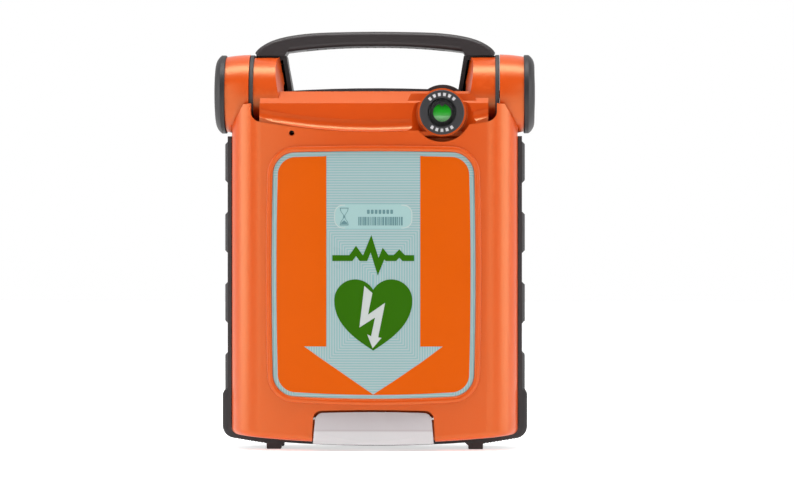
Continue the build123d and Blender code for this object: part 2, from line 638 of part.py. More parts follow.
def rear_housing():
    outer = housing_form(0)
    housing = outer - housing_form(WALL)
    cover_room = rod_x(HINGE_Y, HINGE_Z, BLOCK_R + 0.3, 62.6, 90) & block((0, 90), (-40, -1.9), (200, 300))
    housing -= both_sides(cover_room)
    roof = face(
        ThreePointArc((-62.4, 256.7), (0, SPINE_TOP_Z), (62.4, 256.7)),
        *Polyline((62.4, 256.7), (62.4, RABBET_Z), (-62.4, RABBET_Z), (-62.4, 256.7)).edges(),
    )
    housing += front_prism(roof, -19.9, SPLIT_Y + 1)
    over_roof = outline((28, 255.5), (62.4, 255.5), (62.4, 270), (28, 270))
    bump = Pos(IND_X + 0.3, IND_Z + 0.8) * Circle(19.7) & over_roof
    bump -= Pos(IND_X, IND_Z) * Circle(IND_BOSS_R + 0.1)
    housing += front_prism(bump, -19.9, 14)
    for x, z in SCREW_SPOTS:
        housing += both_sides(rod_y(x, z, 5.3, SPLIT_Y, BACK_Y - 1) & outer)
        housing -= both_sides(rod_y(x, z, 3.9, SEAT_Y, BACK_Y + 1) + rod_y(x, z, 1.9, SPLIT_Y - 1, SEAT_Y))
    housing += battery_bay(2.4) & outer
    housing -= battery_bay(0)
    pack_top = BATTERY_Z + BATTERY[2]
    housing -= block((-10.4, 10.4), (BACK_Y - 3.4, BACK_Y - 1.2), (pack_top, pack_top + 2.3))
    boss = rod_x(HINGE_Y, HINGE_Z, 8, 76, RING_IN_X) - rod_x(HINGE_Y, HINGE_Z, PIN_R, 70, 90)
    housing += both_sides(boss)
    housing -= both_sides(rod_x(HINGE_Y, HINGE_Z, PIN_R, 70, 90))
    housing -= seal_ring()
    housing -= block((-34, 34), (BACK_Y - 0.5, BACK_Y + 1), (128, 168))
    for x in CONTACT_X:
        housing -= block((x - 1, x + 1), CONTACT_WALL_Y, CONTACT_Z)
    for x in HANDLE_SCREW_X:
        housing -= both_sides(Pos(x, HANDLE_SCREW_Y, FOOT_Z) * Cylinder(HANDLE_SCREW_R, 10))
    return housing


def seal_ring():
    half_w, low, high, corner = BODY_HALF_W, BODY_BOTTOM_Z, BODY_TOP_Z, BODY_CORNER_R
    outer, inner = (front_outline(half_w - d, low + d, high - d, corner - d) for d in (0.8, 2.2))
    ring = outer - inner - outline((-86, 200), (86, 200), (86, 260), (-86, 260))
    return front_prism(ring, SPLIT_Y, SPLIT_Y + 1)


def lid_gasket():
    outer = front_outline(BODY_HALF_W - 0.9, BODY_BOTTOM_Z + 2.2, 220, BODY_CORNER_R - 0.8)
    inner = front_outline(BODY_HALF_W - 3.6, BODY_BOTTOM_Z + 4.8, 230, BODY_CORNER_R - 3.5)
    ring = outer - inner - outline((-17, 0), (17, 0), (17, 24), (-17, 24))
    return front_prism(ring, DECK_Y - 1.1, DECK_Y)


def bumper_band():
    """Rubber band round the sides and bottom, with ribs and thicker corners."""
    half_w, low = BODY_HALF_W + BUMPER_T, BODY_BOTTOM_Z - BUMPER_T
    band = front_outline(half_w, low, BODY_TOP_Z, BODY_CORNER_R + BUMPER_T)
    band = front_prism(band, *BUMPER_Y)
    y0, y1 = BUMPER_Y
    for i in range(4):
        top = RIB_TOP_Z - RIB_PITCH * i
        rib = block((-half_w - RIB_RISE, half_w + RIB_RISE), (y0 + 3, y1), (top - RIB_LEN, top))
        band += chamfer(rib.edges().filter_by(Axis.Y) + rib.edges().filter_by(Axis.Z), 1.9)
    guard = front_outline(GUARD_X, GUARD_BOTTOM[0], GUARD_TOP_Z, GUARD_CORNER_R, GUARD_BOTTOM[1])
    guard -= outline((-FOOT_X, -5), (FOOT_X, -5), (FOOT_X, 14), (90, 60), (-90, 60), (-FOOT_X, 14))
    x, top = GUARD_X, GUARD_TOP_Z
    bevel = outline((x, top - 3), (x + 3, top + 3), (x - 3.4, top + 3))
    guard -= bevel + mirror(bevel, Plane.YZ)
    guard = front_prism(guard, y0 + 1.2, y1 + 4)
    band += fillet(guard.edges().filter_by(Axis.Z), 1.2)
    for i in range(9):
        x = FOOT_X + 7 + 2.4 * i
        z = GUARD_BOTTOM[0] + x**2 / (2 * GUARD_BOTTOM[1])
        band -= both_sides(block((x, x + 1), (y0, y1 + 5), (z - 1, z + 0.4)))
    inner = front_outline(BODY_HALF_W, BODY_BOTTOM_Z, BODY_TOP_Z + 5, BODY_CORNER_R)
    return band - front_prism(inner, -60, 60)


def feet(band):
    """Four rubber feet under the band, spread towards the middle at their tops."""
    pad = outline((-5.3, 0), (5.3, 0), (5.3, 14), (-9.3, 14), (-9.3, 6), (-5.3, 2.6))
    pad = fillet(pad.vertices().sort_by(Axis.Y)[:2], 0.8)
    group = []
    for y in (-12, 22):
        foot = front_prism(Pos(FOOT_X, 0) * pad, y, y + 8) - band
        foot = foot & block((50, 100), (-60, 60), (-1, 6.5))
        group += [foot, mirrored(foot)]
    return group


def carry_handle():
    """Arched handle with two feet on the hinge blocks."""
    points = ((0, HEIGHT), (24, 299.7), (48, 298.7), (66, 296), (81, 290), (86.4, 284.6))
    shape = face(
        Spline(*points, tangents=((1, 0), (0.4, -1))),
        *Polyline((86.4, 284.6), (85.5, 283.5), (85.5, FOOT_Z), (64.9, FOOT_Z), (63.4, 285.2)).edges(),
        ThreePointArc((63.4, 285.2), (33, 288.3), (0, 289.2)),
        Line((0, 289.2), (0, HEIGHT)),
    )
    half = front_prism(shape, *HANDLE_Y)
    keep = [
        e for e in half.edges()
        if min(abs(e.center().Y - y) for y in HANDLE_Y) < 0.01 and e.center().Z > 284.9 and e.center().X > 1
    ]
    handle = both_sides(fillet(keep, 3.6)) - grip_seat()
    for screw in handle_screws():
        handle -= screw
    return handle


def handle_grip():
    """Soft pad under the handle, with finger ridges, set in the middle of its underside."""
    y0, y1 = HANDLE_Y[0] + 5, HANDLE_Y[1] - 5
    shape = face(
        ThreePointArc((-50, 287.1), (0, 289.2), (50, 287.1)),
        *Polyline((50, 287.1), (50, 289.4)).edges(),
        ThreePointArc((50, 289.4), (0, 291.4), (-50, 289.4)),
        *Polyline((-50, 289.4), (-50, 287.1)).edges(),
    )
    pad = front_prism(shape, y0, y1)
    for i in range(-7, 8):
        pad -= block((6 * i - 0.6, 6 * i + 0.6), (y0, y1), (286, 289.2 - 0.0008 * (6 * i) ** 2 + 0.5))
    return pad


def grip_seat():
    """Space in the handle for the pad, without the pad's ridges."""
    shape = face(
        ThreePointArc((-50, 285), (0, 287), (50, 285)),
        Line((50, 285), (50, 289.4)),
        ThreePointArc((50, 289.4), (0, 291.4), (-50, 289.4)),
        Line((-50, 289.4), (-50, 285)),
    )
    return front_prism(shape, HANDLE_Y[0] + 5, HANDLE_Y[1] - 5)


def handle_screws():
    """Four screws up into the handle's feet from inside the hinge blocks."""
    group = []
    head_z = FOOT_Z - WALL
    for x in HANDLE_SCREW_X:
        screw = Pos(x, HANDLE_SCREW_Y, head_z + 3.4) * Cylinder(HANDLE_SCREW_R, 6.8)
        screw += Pos(x, HANDLE_SCREW_Y, head_z - 1.2) * Cylinder(2.8, 2.4)
        group += [screw, mirrored(screw)]
    return group


# ---------------------------------------------------------------- status indicator
def indicator_bezel():
    """Black ring with a tapered throat."""
    ring = rod_y(IND_X, IND_Z, IND_BEZEL_R, IND_FACE_Y - 0.9, IND_FACE_Y + 2.4)
    ring = fillet(ring.faces().sort_by(Axis.Y)[0].edges(), 0.7)
    ring += rod_y(IND_X, IND_Z, IND_BEZEL_R - 1.4, IND_FACE_Y + 2.4, -31)
    ring -= rod_y(IND_X, IND_Z, IND_LENS_R, -60, IND_FACE_Y + 1.0)
    return ring - rod_y(IND_X, IND_Z, IND_LENS_R - 1.2, -60, -20)


def indicator_lens():
    return rod_y(IND_X, IND_Z, IND_LENS_R, IND_FACE_Y - 0.2, IND_FACE_Y + 1.0)


def indicator_mask():
    """Dark plate behind the lens, with a round window that the flag shows through."""
    mask = rod_y(IND_X, IND_Z, 11.5, -31, -30)
    mask -= rod_y(IND_X, IND_Z, IND_WINDOW_R, -40, -20)
    return mask + rod_y(IND_X, IND_Z + IND_WINDOW_R - 0.2, 1.6, -31, -30)


DRUM = (-22.6, IND_Z, 7.0)  # y, z and radius of the flag drum
DRUM_HALF_W = 7.2
COIL_R = 4.2
AXLE_R = 0.8


def flag_drum(front):
    """Front or rear half of the drum that shows in the window."""
    y, z, radius = DRUM
    drum = rod_x(y, z, radius, IND_X - DRUM_HALF_W, IND_X + DRUM_HALF_W)
    half = block((0, 100), (y - 10, y) if front else (y, y + 10), (z - 10, z + 10))
    return (drum & half) - rod_x(y, z, AXLE_R, 0, 100)


def flag_axle():
    return rod_x(*DRUM[:2], AXLE_R, IND_X - 9.6, IND_X + 17)


def drum_lugs():
    """Two lugs behind the boss that the drum's axle turns in."""
    y, z = DRUM[:2]
    lugs = block((IND_X + 7.7, IND_X + 9.2), (y - 5, y + 2.5), (z - 3.5, z + 3.5))
    lugs += block((IND_X - 9.2, IND_X - 7.7), (y - 5, y + 2.5), (z - 3.5, z + 3.5))
    return lugs - rod_x(y, z, AXLE_R + RUNNING_GAP, 0, 100)


def indicator_coil():
    """Coil that turns the drum's axle, on a stub behind the boss."""
    y, z = DRUM[:2]
    coil = rod_x(y, z, COIL_R, IND_X + 9.8, IND_X + 16)
    coil += block((IND_X + 10, IND_X + 15.8), (-25, y), (z - 3, z + 3))
    return coil - rod_x(y, z, AXLE_R + 0.4, 0, 100)


# ---------------------------------------------------------------- controls on the deck
def control_panel():
    half_w, low, high = PLATFORM
    shape = Pos(0, (low + high) / 2) * RectangleRounded(2 * half_w - 7, high - low - 7, 6)
    panel = front_prism(shape, PANEL_FRONT_Y, PLATFORM_Y) - control_cuts(-20, -10, 0.4)
    panel -= speaker_slots(-20, -10)
    panel -= block((-17, 17), (-20, -10), (20, 27.5))
    return panel + port_cover_lugs()


def push_button(spot, crown):
    """Captive button: a domed cap in front, a collar behind the platform and a hollow back."""
    x, z, radius = spot
    cap = rod_y(x, z, radius, -21.5, -13)
    cap = fillet(cap.faces().sort_by(Axis.Y)[0].edges(), crown)
    cap += rod_y(x, z, radius + 1.6, -12.6, -11.6)
    cap += rod_y(x, z, radius, -13, -11)
    cap -= rod_y(x, z, radius - 2, -18.5, -10)
    return cap + rod_y(x, z, 2.5, -18.5, -11)


def switch_board():
    return block((32, 75), BUTTON_BOARD_Y, (46, 129))


def switch_domes():
    """Silicone domes under the two buttons, drawn at their pressed height."""
    spots = (SHOCK_BUTTON, INFO_BUTTON)
    return [rod_y(x, z, 4.0, BUTTON_BOARD_Y[0] - 2.2, BUTTON_BOARD_Y[0]) for x, z, radius in spots]


def board_pillar_spots():
    """Where pillars on the back of the platform carry the switch board."""
    return [(x, z) for x in (36, 71) for z in (50, 81, 125)]


def display_lens():
    x, z, width, height = DISPLAY
    return front_prism(Pos(x, z) * RectangleRounded(width, height, 3), PANEL_FRONT_Y - 0.8, PANEL_FRONT_Y)


def display_module():
    x, z, width, height = DISPLAY
    back = PLATFORM_Y + WALL
    module = front_prism(Pos(x, z) * RectangleRounded(width - 2, height - 2, 2), back, -8)
    return module + front_prism(Pos(x, z) * RectangleRounded(width - 10, height - 10, 2), -16.6, back)


def speaker():
    x, z, radius = SPEAKER
    cone = rod_y(x, z, radius, PLATFORM_Y + WALL, -11) + rod_y(x, z, 13, -11, -5)
    return cone - rod_y(x, z, radius - 3, -14, -12.2)


def alert_sounder():
    return rod_y(SOUND_HOLE[0], 232.0, 5.0, -29.2, -24.5)


def pads_socket():
    """Keyed socket for the plug of the pads."""
    x, z, width, height = PADS_SOCKET
    shell = front_prism(Pos(x, z) * RectangleRounded(width, height, 2.8), -20, -5)
    shell -= front_prism(Pos(x, z) * RectangleRounded(width - 6, height - 6, 2), -20.5, -8)
    shell += block((x - 1.5, x + 1.5), (-18, -8), (z - height / 2 + 2, z - height / 2 + 4.5))
    for pin in pads_contacts():
        shell -= pin
    return shell


def pads_contacts():
    x, z = PADS_SOCKET[:2]
    return [rod_y(x + dx, z + 1, 1.0, -12.5, -4) for dx in (-6, 6)]


def data_port():
    x, z, width, height = DATA_PORT
    shell = front_prism(Pos(x, z) * RectangleRounded(width, height, 2.8), -17.2, -6)
    return shell - front_prism(Pos(x, z) * RectangleRounded(11, 5.2, 1), -18, -9)


PORT_HINGE = (-18.9, 59.4)


def port_cover():
    """Rubber flap on a small barrel above the data port."""
    x, z, width, height = DATA_PORT
    flap = front_prism(Pos(x, z - 0.7) * RectangleRounded(width + 2, height + 1.4, 3), -19.2, -17.8)
    flap += block((x - 6, x + 6), (-19.2, -17.9), (z + 4, PORT_HINGE[1]))
    flap += rod_x(*PORT_HINGE, 1.25, x - 6.5, x + 6.5)
    return flap - rod_x(*PORT_HINGE, 0.6 + RUNNING_GAP, x - 9, x + 9)


def port_cover_pin():
    x = DATA_PORT[0]
    return rod_x(*PORT_HINGE, 0.6, x - 8.6, x + 8.6)


def port_cover_lugs():
    x = DATA_PORT[0]
    lug = outline((PANEL_FRONT_Y, PORT_HINGE[1] - 2), (PANEL_FRONT_Y, PORT_HINGE[1] + 2),
                  (PORT_HINGE[0], PORT_HINGE[1] + 1.3), (PORT_HINGE[0], PORT_HINGE[1] - 1.3))
    lug += Pos(*PORT_HINGE) * Circle(1.3)
    lug -= Pos(*PORT_HINGE) * Circle(0.6)
    return [side_prism(lug, x - 8.6, x - 6.8), side_prism(lug, x + 6.8, x + 8.6)]


def latch_keeper():
    return block((-15, 15), KEEPER_Y, KEEPER_Z)


# ---------------------------------------------------------------- inside the body
CHASSIS_Y = (8.0, 9.6)
BOARD_Y = (-1.6, 0.0)
BOARD = (78.0, 106.0, 208.0)  # half width, low z, high z
CAPACITOR = (25.7, 186.0, 14.5)


def board_spots():
    half_w, low, high = BOARD
    return [(x, z) for x in (-half_w + 6, half_w - 6) for z in (low + 6, high - 6)]


def internal_chassis():
    """Plate behind the main board, with a pillar at each of its screws."""
    half_w, low, high = BOARD
    shape = Pos(0, (low + high) / 2) * RectangleRounded(2 * half_w + 6, high - low + 4, 6)
    plate = front_prism(shape, *CHASSIS_Y)
    for x in (-50, 0, 50):
        plate -= front_prism(Pos(x, 122) * SlotOverall(34, 8), 0, 20)
    for x, z in board_spots():
        plate += rod_y(x, z, 3.2, BOARD_Y[1], CHASSIS_Y[0])
        plate -= rod_y(x, z, 1.3, -5, 5)
    for x, z in chassis_posts():
        plate -= rod_y(x, z, 1.6, 0, 20)
    return plate


def chassis_posts():
    return [(x, z) for x in (-64, 64) for z in (112, 202)]


def chassis_screws():
    """Screws through the chassis into long pillars of the rear housing."""
    head = CHASSIS_Y[0] - 2
    seat = CHASSIS_Y[0]
    return [rod_y(x, z, 1.6, seat, 20) + rod_y(x, z, 3, head, seat) for x, z in chassis_posts()]


def main_board():
    half_w, low, high = BOARD
    shape = Pos(0, (low + high) / 2) * RectangleRounded(2 * half_w, high - low, 3)
    board = front_prism(shape, *BOARD_Y)
    for x, z in board_spots():
        board -= rod_y(x, z, 1.3, -5, 5)
    return board


def board_screws():
    head = BOARD_Y[0] - 1.6
    return [rod_y(x, z, 1.3, BOARD_Y[0], 5) + rod_y(x, z, 2.5, head, BOARD_Y[0]) for x, z in board_spots()]


def hv_capacitor():
    y, z, radius = CAPACITOR
    can = rod_x(y, z, radius, -58, 4)
    can = fillet(can.edges().filter_by(GeomType.CIRCLE), 1.2)
    return can + rod_x(y + 4, z, 2.0, 4, 9) + rod_x(y - 4, z, 2.0, 4, 9)


def capacitor_clamps():
    """Two straps that hold the capacitor down on the chassis."""
    y, z, radius = CAPACITOR
    group = []
    for x in (-48, -16):
        strap = rod_x(y, z, radius + 1.2, x, x + 10)
        strap += block((x, x + 10), (CHASSIS_Y[1], y), (z - radius - 1.2, z + radius + 1.2))
        strap -= rod_x(y, z, radius, x - 1, x + 11)
        group.append(strap - block((x - 1, x + 11), (0, y), (z - radius, z + radius)))
    return group


def charging_transformer():
    """Wound core with two flanges."""
    core = block((22, 46), (CHASSIS_Y[1], 34), (150, 174))
    return core + rod_y(34, 162, 9, 34, 37)


def discharge_relay():
    return block((54, 78), (CHASSIS_Y[1], 27), (146, 170))


def power_heatsink():
    """Finned block on the chassis behind the discharge switches."""
    sink = block((22, 55.4), (CHASSIS_Y[1], 13), (184, 204))
    for i in range(6):
        sink += block((22 + 6.2 * i, 24.4 + 6.2 * i), (13, 26), (184, 204))
    return sink


def battery_contacts():
    """Contact block in the floor of the battery bay, with four blades' seats."""
    back = CONTACT_WALL_Y[0]
    return block((-16, 16), (back - 4, back), (50, 62))


def contact_blades():
    back, front = CONTACT_WALL_Y
    return [block((x - 1, x + 1), (back, front + 2), CONTACT_Z) for x in CONTACT_X]


# ---------------------------------------------------------------- battery
def battery_pack():
    width, depth, height = BATTERY
    low = BATTERY_Z
    pack = block((-width / 2, width / 2), (BACK_Y - depth, BACK_Y), (low, low + height))
    pack = fillet(pack.edges().filter_by(Axis.Y), 3)
    for x in CONTACT_X:
        pack -= block((x - 1.5, x + 1.5), (BACK_Y - depth - 1, BACK_Y - depth + 4), (52, 60))
    pack -= block((-15.5, 15.5), (BACK_Y - 5, BACK_Y + 1), (low + height - 20, low + height + 1))
    grip = Pos(0, low + 14) * SlotOverall(60, 9)
    return pack - front_prism(grip, BACK_Y - 4, BACK_Y + 1)


def battery_latch():
    """Thumb slide in the pack's back, with its tongue drawn level with the top of the pack."""
    top = BATTERY_Z + BATTERY[2]
    slide = block((-15, 15), (BACK_Y - 4.7, BACK_Y - 0.6), (top - 16.6, top - 0.4))
    for i in range(4):
        slide -= block((-10, 10), (BACK_Y - 1.4, BACK_Y), (top - 14 + 2.6 * i, top - 12.8 + 2.6 * i))
    return slide + block((-10, 10), (BACK_Y - 3.1, BACK_Y - 1.5), (top - 0.4, top))


def housing_screws():
    group = []
    for x, z in SCREW_SPOTS:
        screw = rod_y(x, z, 1.6, -11.4, SEAT_Y) + rod_y(x, z, 3.2, SEAT_Y, SEAT_Y + 2.6)
        screw -= rod_y(x, z, 1.3, SEAT_Y + 1.2, SEAT_Y + 3)
        group += [screw, mirrored(screw)]
    return group


# ---------------------------------------------------------------- write every piece
def housing_with_pillars():
    housing = rear_housing()
    for x, z in chassis_posts():
        housing += rod_y(x, z, 4, CHASSIS_Y[1], BACK_Y - 1) - rod_y(x, z, 1.6, CHASSIS_Y[1], 20)
    return housing


BAND = bumper_band()

PARTS = {
    # casings and what is fixed to them
    "rear_housing": housing_with_pillars(),
    "bumper_band": BAND,
    "rubber_feet": feet(BAND),
    "housing_gasket": seal_ring(),
    "front_deck": front_deck(),
    "control_panel": control_panel(),
    "lid_gasket": lid_gasket(),
    "carry_handle": carry_handle(),
    "handle_grip": handle_grip(),
    "handle_screws": handle_screws(),
    "housing_screws": housing_screws(),
    "hinge_ring_left": hinge_ring(-1),
    "hinge_ring_right": hinge_ring(1),
    "hinge_pins": hinge_pins(),
    "latch_keeper": latch_keeper(),
    # status indicator
    "indicator_bezel": indicator_bezel(),
    "indicator_lens": indicator_lens(),
    "indicator_mask": indicator_mask(),
    "indicator_coil": indicator_coil(),
    "flag_axle": flag_axle(),
    "flag_drum_green": flag_drum(front=True),
    "flag_drum_red": flag_drum(front=False),
    # controls
    "shock_button": push_button(SHOCK_BUTTON, 2.0),
    "info_button": push_button(INFO_BUTTON, 1.5),
    "switch_board": switch_board(),
    "switch_domes": switch_domes(),
    "display_lens": display_lens(),
    "display_module": display_module(),
    "speaker": speaker(),
    "alert_sounder": alert_sounder(),
    "connector_plate": connector_plate(),
    "pads_socket": pads_socket(),
    "pads_contacts": pads_contacts(),
    "data_port": data_port(),
    "port_cover": port_cover(),
    "port_cover_pin": port_cover_pin(),
    # inside
    "internal_chassis": internal_chassis(),
    "chassis_screws": chassis_screws(),
    "main_board": main_board(),
    "board_screws": board_screws(),
    "hv_capacitor": hv_capacitor(),
    "capacitor_clamps": capacitor_clamps(),
    "charging_transformer": charging_transformer(),
    "discharge_relay": discharge_relay(),
    "power_heatsink": power_heatsink(),
    "battery_contacts": battery_contacts(),
    "contact_blades": contact_blades(),
    # battery
    "battery_pack": battery_pack(),
    "battery_latch": battery_latch(),
    # lid
    "lid_shell": lid_shell(),
    "label_panel": label_panel(),
    "pads_window": pads_window(),
    "lid_inner_tray": lid_inner_tray(),
    "electrode_pouch": electrode_pouch(),
    "end_cap_left": end_cap(-1),
    "end_cap_right": end_cap(1),
    "hinge_bushes": hinge_bushes(),
    "latch_pin": latch_pin(),
    "latch_spring": latch_spring(),
    "latch_lever": latch_lever(),
}

os.makedirs("parts", exist_ok=True)
for name, shape in PARTS.items():
    pieces = shape if isinstance(shape, list) else [shape]
    solids = [solid for piece in pieces for solid in piece.solids()]
    export_step(solids[0] if len(solids) == 1 else Compound(solids), f"parts/{name}.step")
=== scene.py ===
import random
from math import atan2, cos, degrees, hypot, pi, radians, sin, sqrt

import bmesh
import bpy
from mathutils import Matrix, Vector
from mathutils import noise as mathutils_noise
from mathutils.geometry import delaunay_2d_cdt


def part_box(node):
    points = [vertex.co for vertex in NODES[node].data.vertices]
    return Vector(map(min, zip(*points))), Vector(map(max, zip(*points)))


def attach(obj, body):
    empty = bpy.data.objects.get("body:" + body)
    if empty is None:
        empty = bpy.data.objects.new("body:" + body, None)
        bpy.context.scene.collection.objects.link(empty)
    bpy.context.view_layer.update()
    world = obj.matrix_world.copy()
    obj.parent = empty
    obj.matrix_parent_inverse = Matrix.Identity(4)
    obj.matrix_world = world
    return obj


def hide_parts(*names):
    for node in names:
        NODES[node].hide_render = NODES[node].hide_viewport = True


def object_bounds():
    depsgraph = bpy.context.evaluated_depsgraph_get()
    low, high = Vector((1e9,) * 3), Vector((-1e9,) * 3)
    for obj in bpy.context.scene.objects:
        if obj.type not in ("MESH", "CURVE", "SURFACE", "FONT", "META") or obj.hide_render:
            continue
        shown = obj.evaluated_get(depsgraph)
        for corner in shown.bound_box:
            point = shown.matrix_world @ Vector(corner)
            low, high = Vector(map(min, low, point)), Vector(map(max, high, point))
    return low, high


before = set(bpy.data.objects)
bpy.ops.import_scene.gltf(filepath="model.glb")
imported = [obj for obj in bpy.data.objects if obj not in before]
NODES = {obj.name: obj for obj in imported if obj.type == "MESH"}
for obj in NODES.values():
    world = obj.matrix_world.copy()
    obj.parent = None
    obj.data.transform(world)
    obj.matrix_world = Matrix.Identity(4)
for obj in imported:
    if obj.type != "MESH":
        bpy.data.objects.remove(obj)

CAD_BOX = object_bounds()
MM = 0.001
SCENE = bpy.context.scene

# ---------------------------------------------------------------- places, from the frame, in metres
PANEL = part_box("label_panel")
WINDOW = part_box("pads_window")
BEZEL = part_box("indicator_bezel")
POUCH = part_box("electrode_pouch")
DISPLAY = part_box("display_lens")
INDICATOR = (BEZEL[0] + BEZEL[1]) / 2
CONTROLS_Y = DISPLAY[1].y  # the face of the control panel
CRYSTAL_Y = CONTROLS_Y + 0.9 * MM  # the face of the display behind its lens
RATING_FLOOR_Y = CAD_BOX[1][1] - 0.5 * MM  # the floor of the rating plate's recess
BATTERY_BACK_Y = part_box("battery_pack")[1].y
LID_CROWN_R = 600 * MM
CREASE_Z = 14.8 * MM  # crease across the latch
INK_LIFT = 0.04 * MM  # how far print stands off the controls

# ---------------------------------------------------------------- camera, light and floor
CAMERA_PLACE = (0.08, -2.5, 0.1493)
CAMERA_YAW = 0.032  # radians to the left
CAMERA_LENS = 157.3  # millimetres, on the sensor below
CAMERA_SENSOR = 36.0
CAMERA_SHIFT = 0.0275  # the photograph has the object left of its middle
LIT_POINT = Vector((0, 0, 0.15))  # the soft boxes face it
FLOOR_REACH = 6.0

# name, place, (width, height) in metres, power in watts
SOFT_BOXES = (
    ("edge_box_left", (-1.1, -0.22, 0.32), (0.6, 1.2), 10),
    ("edge_box_right", (1.1, -0.20, 0.32), (0.6, 1.2), 9.5),
    ("soft_box_left", (-0.66, -1.3, 0.40), (0.36, 1.2), 4.4),
    ("soft_box_right", (0.76, -1.25, 0.40), (0.36, 1.2), 4.2),
    ("soft_box_top", (0, -0.22, 1.3), (1.3, 0.42), 20),
)


def add_camera():
    data = bpy.data.cameras.new("camera")
    data.lens = CAMERA_LENS
    data.sensor_width = CAMERA_SENSOR
    data.shift_x = CAMERA_SHIFT
    data.clip_end = 50
    camera = bpy.data.objects.new("camera", data)
    camera.location = CAMERA_PLACE
    camera.rotation_euler = (pi / 2, 0, CAMERA_YAW)
    SCENE.collection.objects.link(camera)
    SCENE.camera = camera


def add_soft_box(name, place, size, power):
    data = bpy.data.lights.new(name, "AREA")
    data.shape = "RECTANGLE"
    data.size, data.size_y = size
    data.energy = power
    light = bpy.data.objects.new(name, data)
    light.location = place
    light.rotation_euler = (LIT_POINT - Vector(place)).to_track_quat("-Z", "Y").to_euler()
    SCENE.collection.objects.link(light)


def add_room():
    """A white room behind the object that fades to dark grey in front of it."""
    world = bpy.data.worlds.new("studio")
    SCENE.world = world
    world.use_nodes = True
    tree = world.node_tree
    direction = tree.nodes.new("ShaderNodeTexCoord").outputs["Generated"]
    split = tree.nodes.new("ShaderNodeSeparateXYZ")
    tree.links.new(direction, split.inputs[0])
    depth = compute(tree, "MULTIPLY_ADD", split.outputs["Y"], 0.5, 0.5)
    ramp = tree.nodes.new("ShaderNodeValToRGB")
    dark, white = ramp.color_ramp.elements
    dark.position, dark.color = 0.4, (0.045, 0.045, 0.047, 1)
    white.position, white.color = 0.72, (1, 1, 1, 1)
    tree.links.new(depth, ramp.inputs[0])
    background = tree.nodes["Background"]
    tree.links.new(ramp.outputs[0], background.inputs["Color"])
    background.inputs["Strength"].default_value = 1.0


def add_floor():
    material, shader, _ = new_material("floor_pale")
    shader.inputs["Base Color"].default_value = (0.9, 0.9, 0.9, 1)
    shader.inputs["Roughness"].default_value = 0.6
    shader.inputs["Emission Color"].default_value = (1, 1, 1, 1)
    shader.inputs["Emission Strength"].default_value = 0.6
    mesh = bpy.data.meshes.new("floor")
    corners = [(x * FLOOR_REACH, y * FLOOR_REACH, 0) for x, y in ((-1, -1), (1, -1), (1, 1), (-1, 1))]
    mesh.from_pydata(corners, [], [(0, 1, 2, 3)])
    mesh.materials.append(material)
    floor = bpy.data.objects.new("floor", mesh)
    SCENE.collection.objects.link(floor)


# ---------------------------------------------------------------- material kit
def new_material(name):
    material = bpy.data.materials.new(name)
    material.use_nodes = True
    tree = material.node_tree
    return material, tree.nodes["Principled BSDF"], tree


def object_coords(tree):
    return tree.nodes.new("ShaderNodeTexCoord").outputs["Object"]


def coordinate(tree, axis):
    """The X, Y or Z of the shaded point, in metres."""
    split = tree.nodes.new("ShaderNodeSeparateXYZ")
    tree.links.new(object_coords(tree), split.inputs[0])
    return split.outputs[axis]


def noise(tree, scale, detail=3.0, roughness=0.5, vector=None):
    """Cloudy noise from about 0.3 to 0.7, with scale patches in a metre."""
    node = tree.nodes.new("ShaderNodeTexNoise")
    node.inputs["Scale"].default_value = scale
    node.inputs["Detail"].default_value = detail
    node.inputs["Roughness"].default_value = roughness
    tree.links.new(vector or object_coords(tree), node.inputs["Vector"])
    return node.outputs["Fac"]


def compute(tree, operation, *values):
    """A Math node; the values are numbers or sockets."""
    node = tree.nodes.new("ShaderNodeMath")
    node.operation = operation
    for socket, value in zip(node.inputs, values):
        if isinstance(value, (int, float)):
            socket.default_value = value
        else:
            tree.links.new(value, socket)
    return node.outputs[0]


def remap(tree, value, low_in, high_in, low_out, high_out):
    """The value, stretched from one range to another and clamped there."""
    node = tree.nodes.new("ShaderNodeMapRange")
    tree.links.new(value, node.inputs["Value"])
    node.inputs["From Min"].default_value = low_in
    node.inputs["From Max"].default_value = high_in
    node.inputs["To Min"].default_value = low_out
    node.inputs["To Max"].default_value = high_out
    return node.outputs["Result"]


def mix_colour(tree, factor, first, second):
    """first where the factor is 0, second where it is 1; both are colours or sockets."""
    node = tree.nodes.new("ShaderNodeMix")
    node.data_type = "RGBA"
    tree.links.new(factor, node.inputs[0])
    for socket, value in ((node.inputs[6], first), (node.inputs[7], second)):
        if isinstance(value, tuple):
            socket.default_value = (*value, 1)
        else:
            tree.links.new(value, socket)
    return node.outputs[2]


def add_bump(tree, shader, height, distance, strength=1.0):
    """Relief on the surface; distance is its depth in metres where the height is 1."""
    node = tree.nodes.new("ShaderNodeBump")
    node.inputs["Strength"].default_value = strength
    node.inputs["Distance"].default_value = distance
    tree.links.new(height, node.inputs["Height"])
    tree.links.new(node.outputs["Normal"], shader.inputs["Normal"])


def edge_wear(tree):
    """1 along convex edges, 0 elsewhere."""
    geometry = tree.nodes.new("ShaderNodeNewGeometry")
    return remap(tree, geometry.outputs["Pointiness"], 0.58, 0.72, 0.0, 1.0)


def shades(colour, share):
    """The colour made darker and lighter by a share of itself."""
    return tuple(c * (1 - share) for c in colour), tuple(min(1.0, c * (1 + share)) for c in colour)


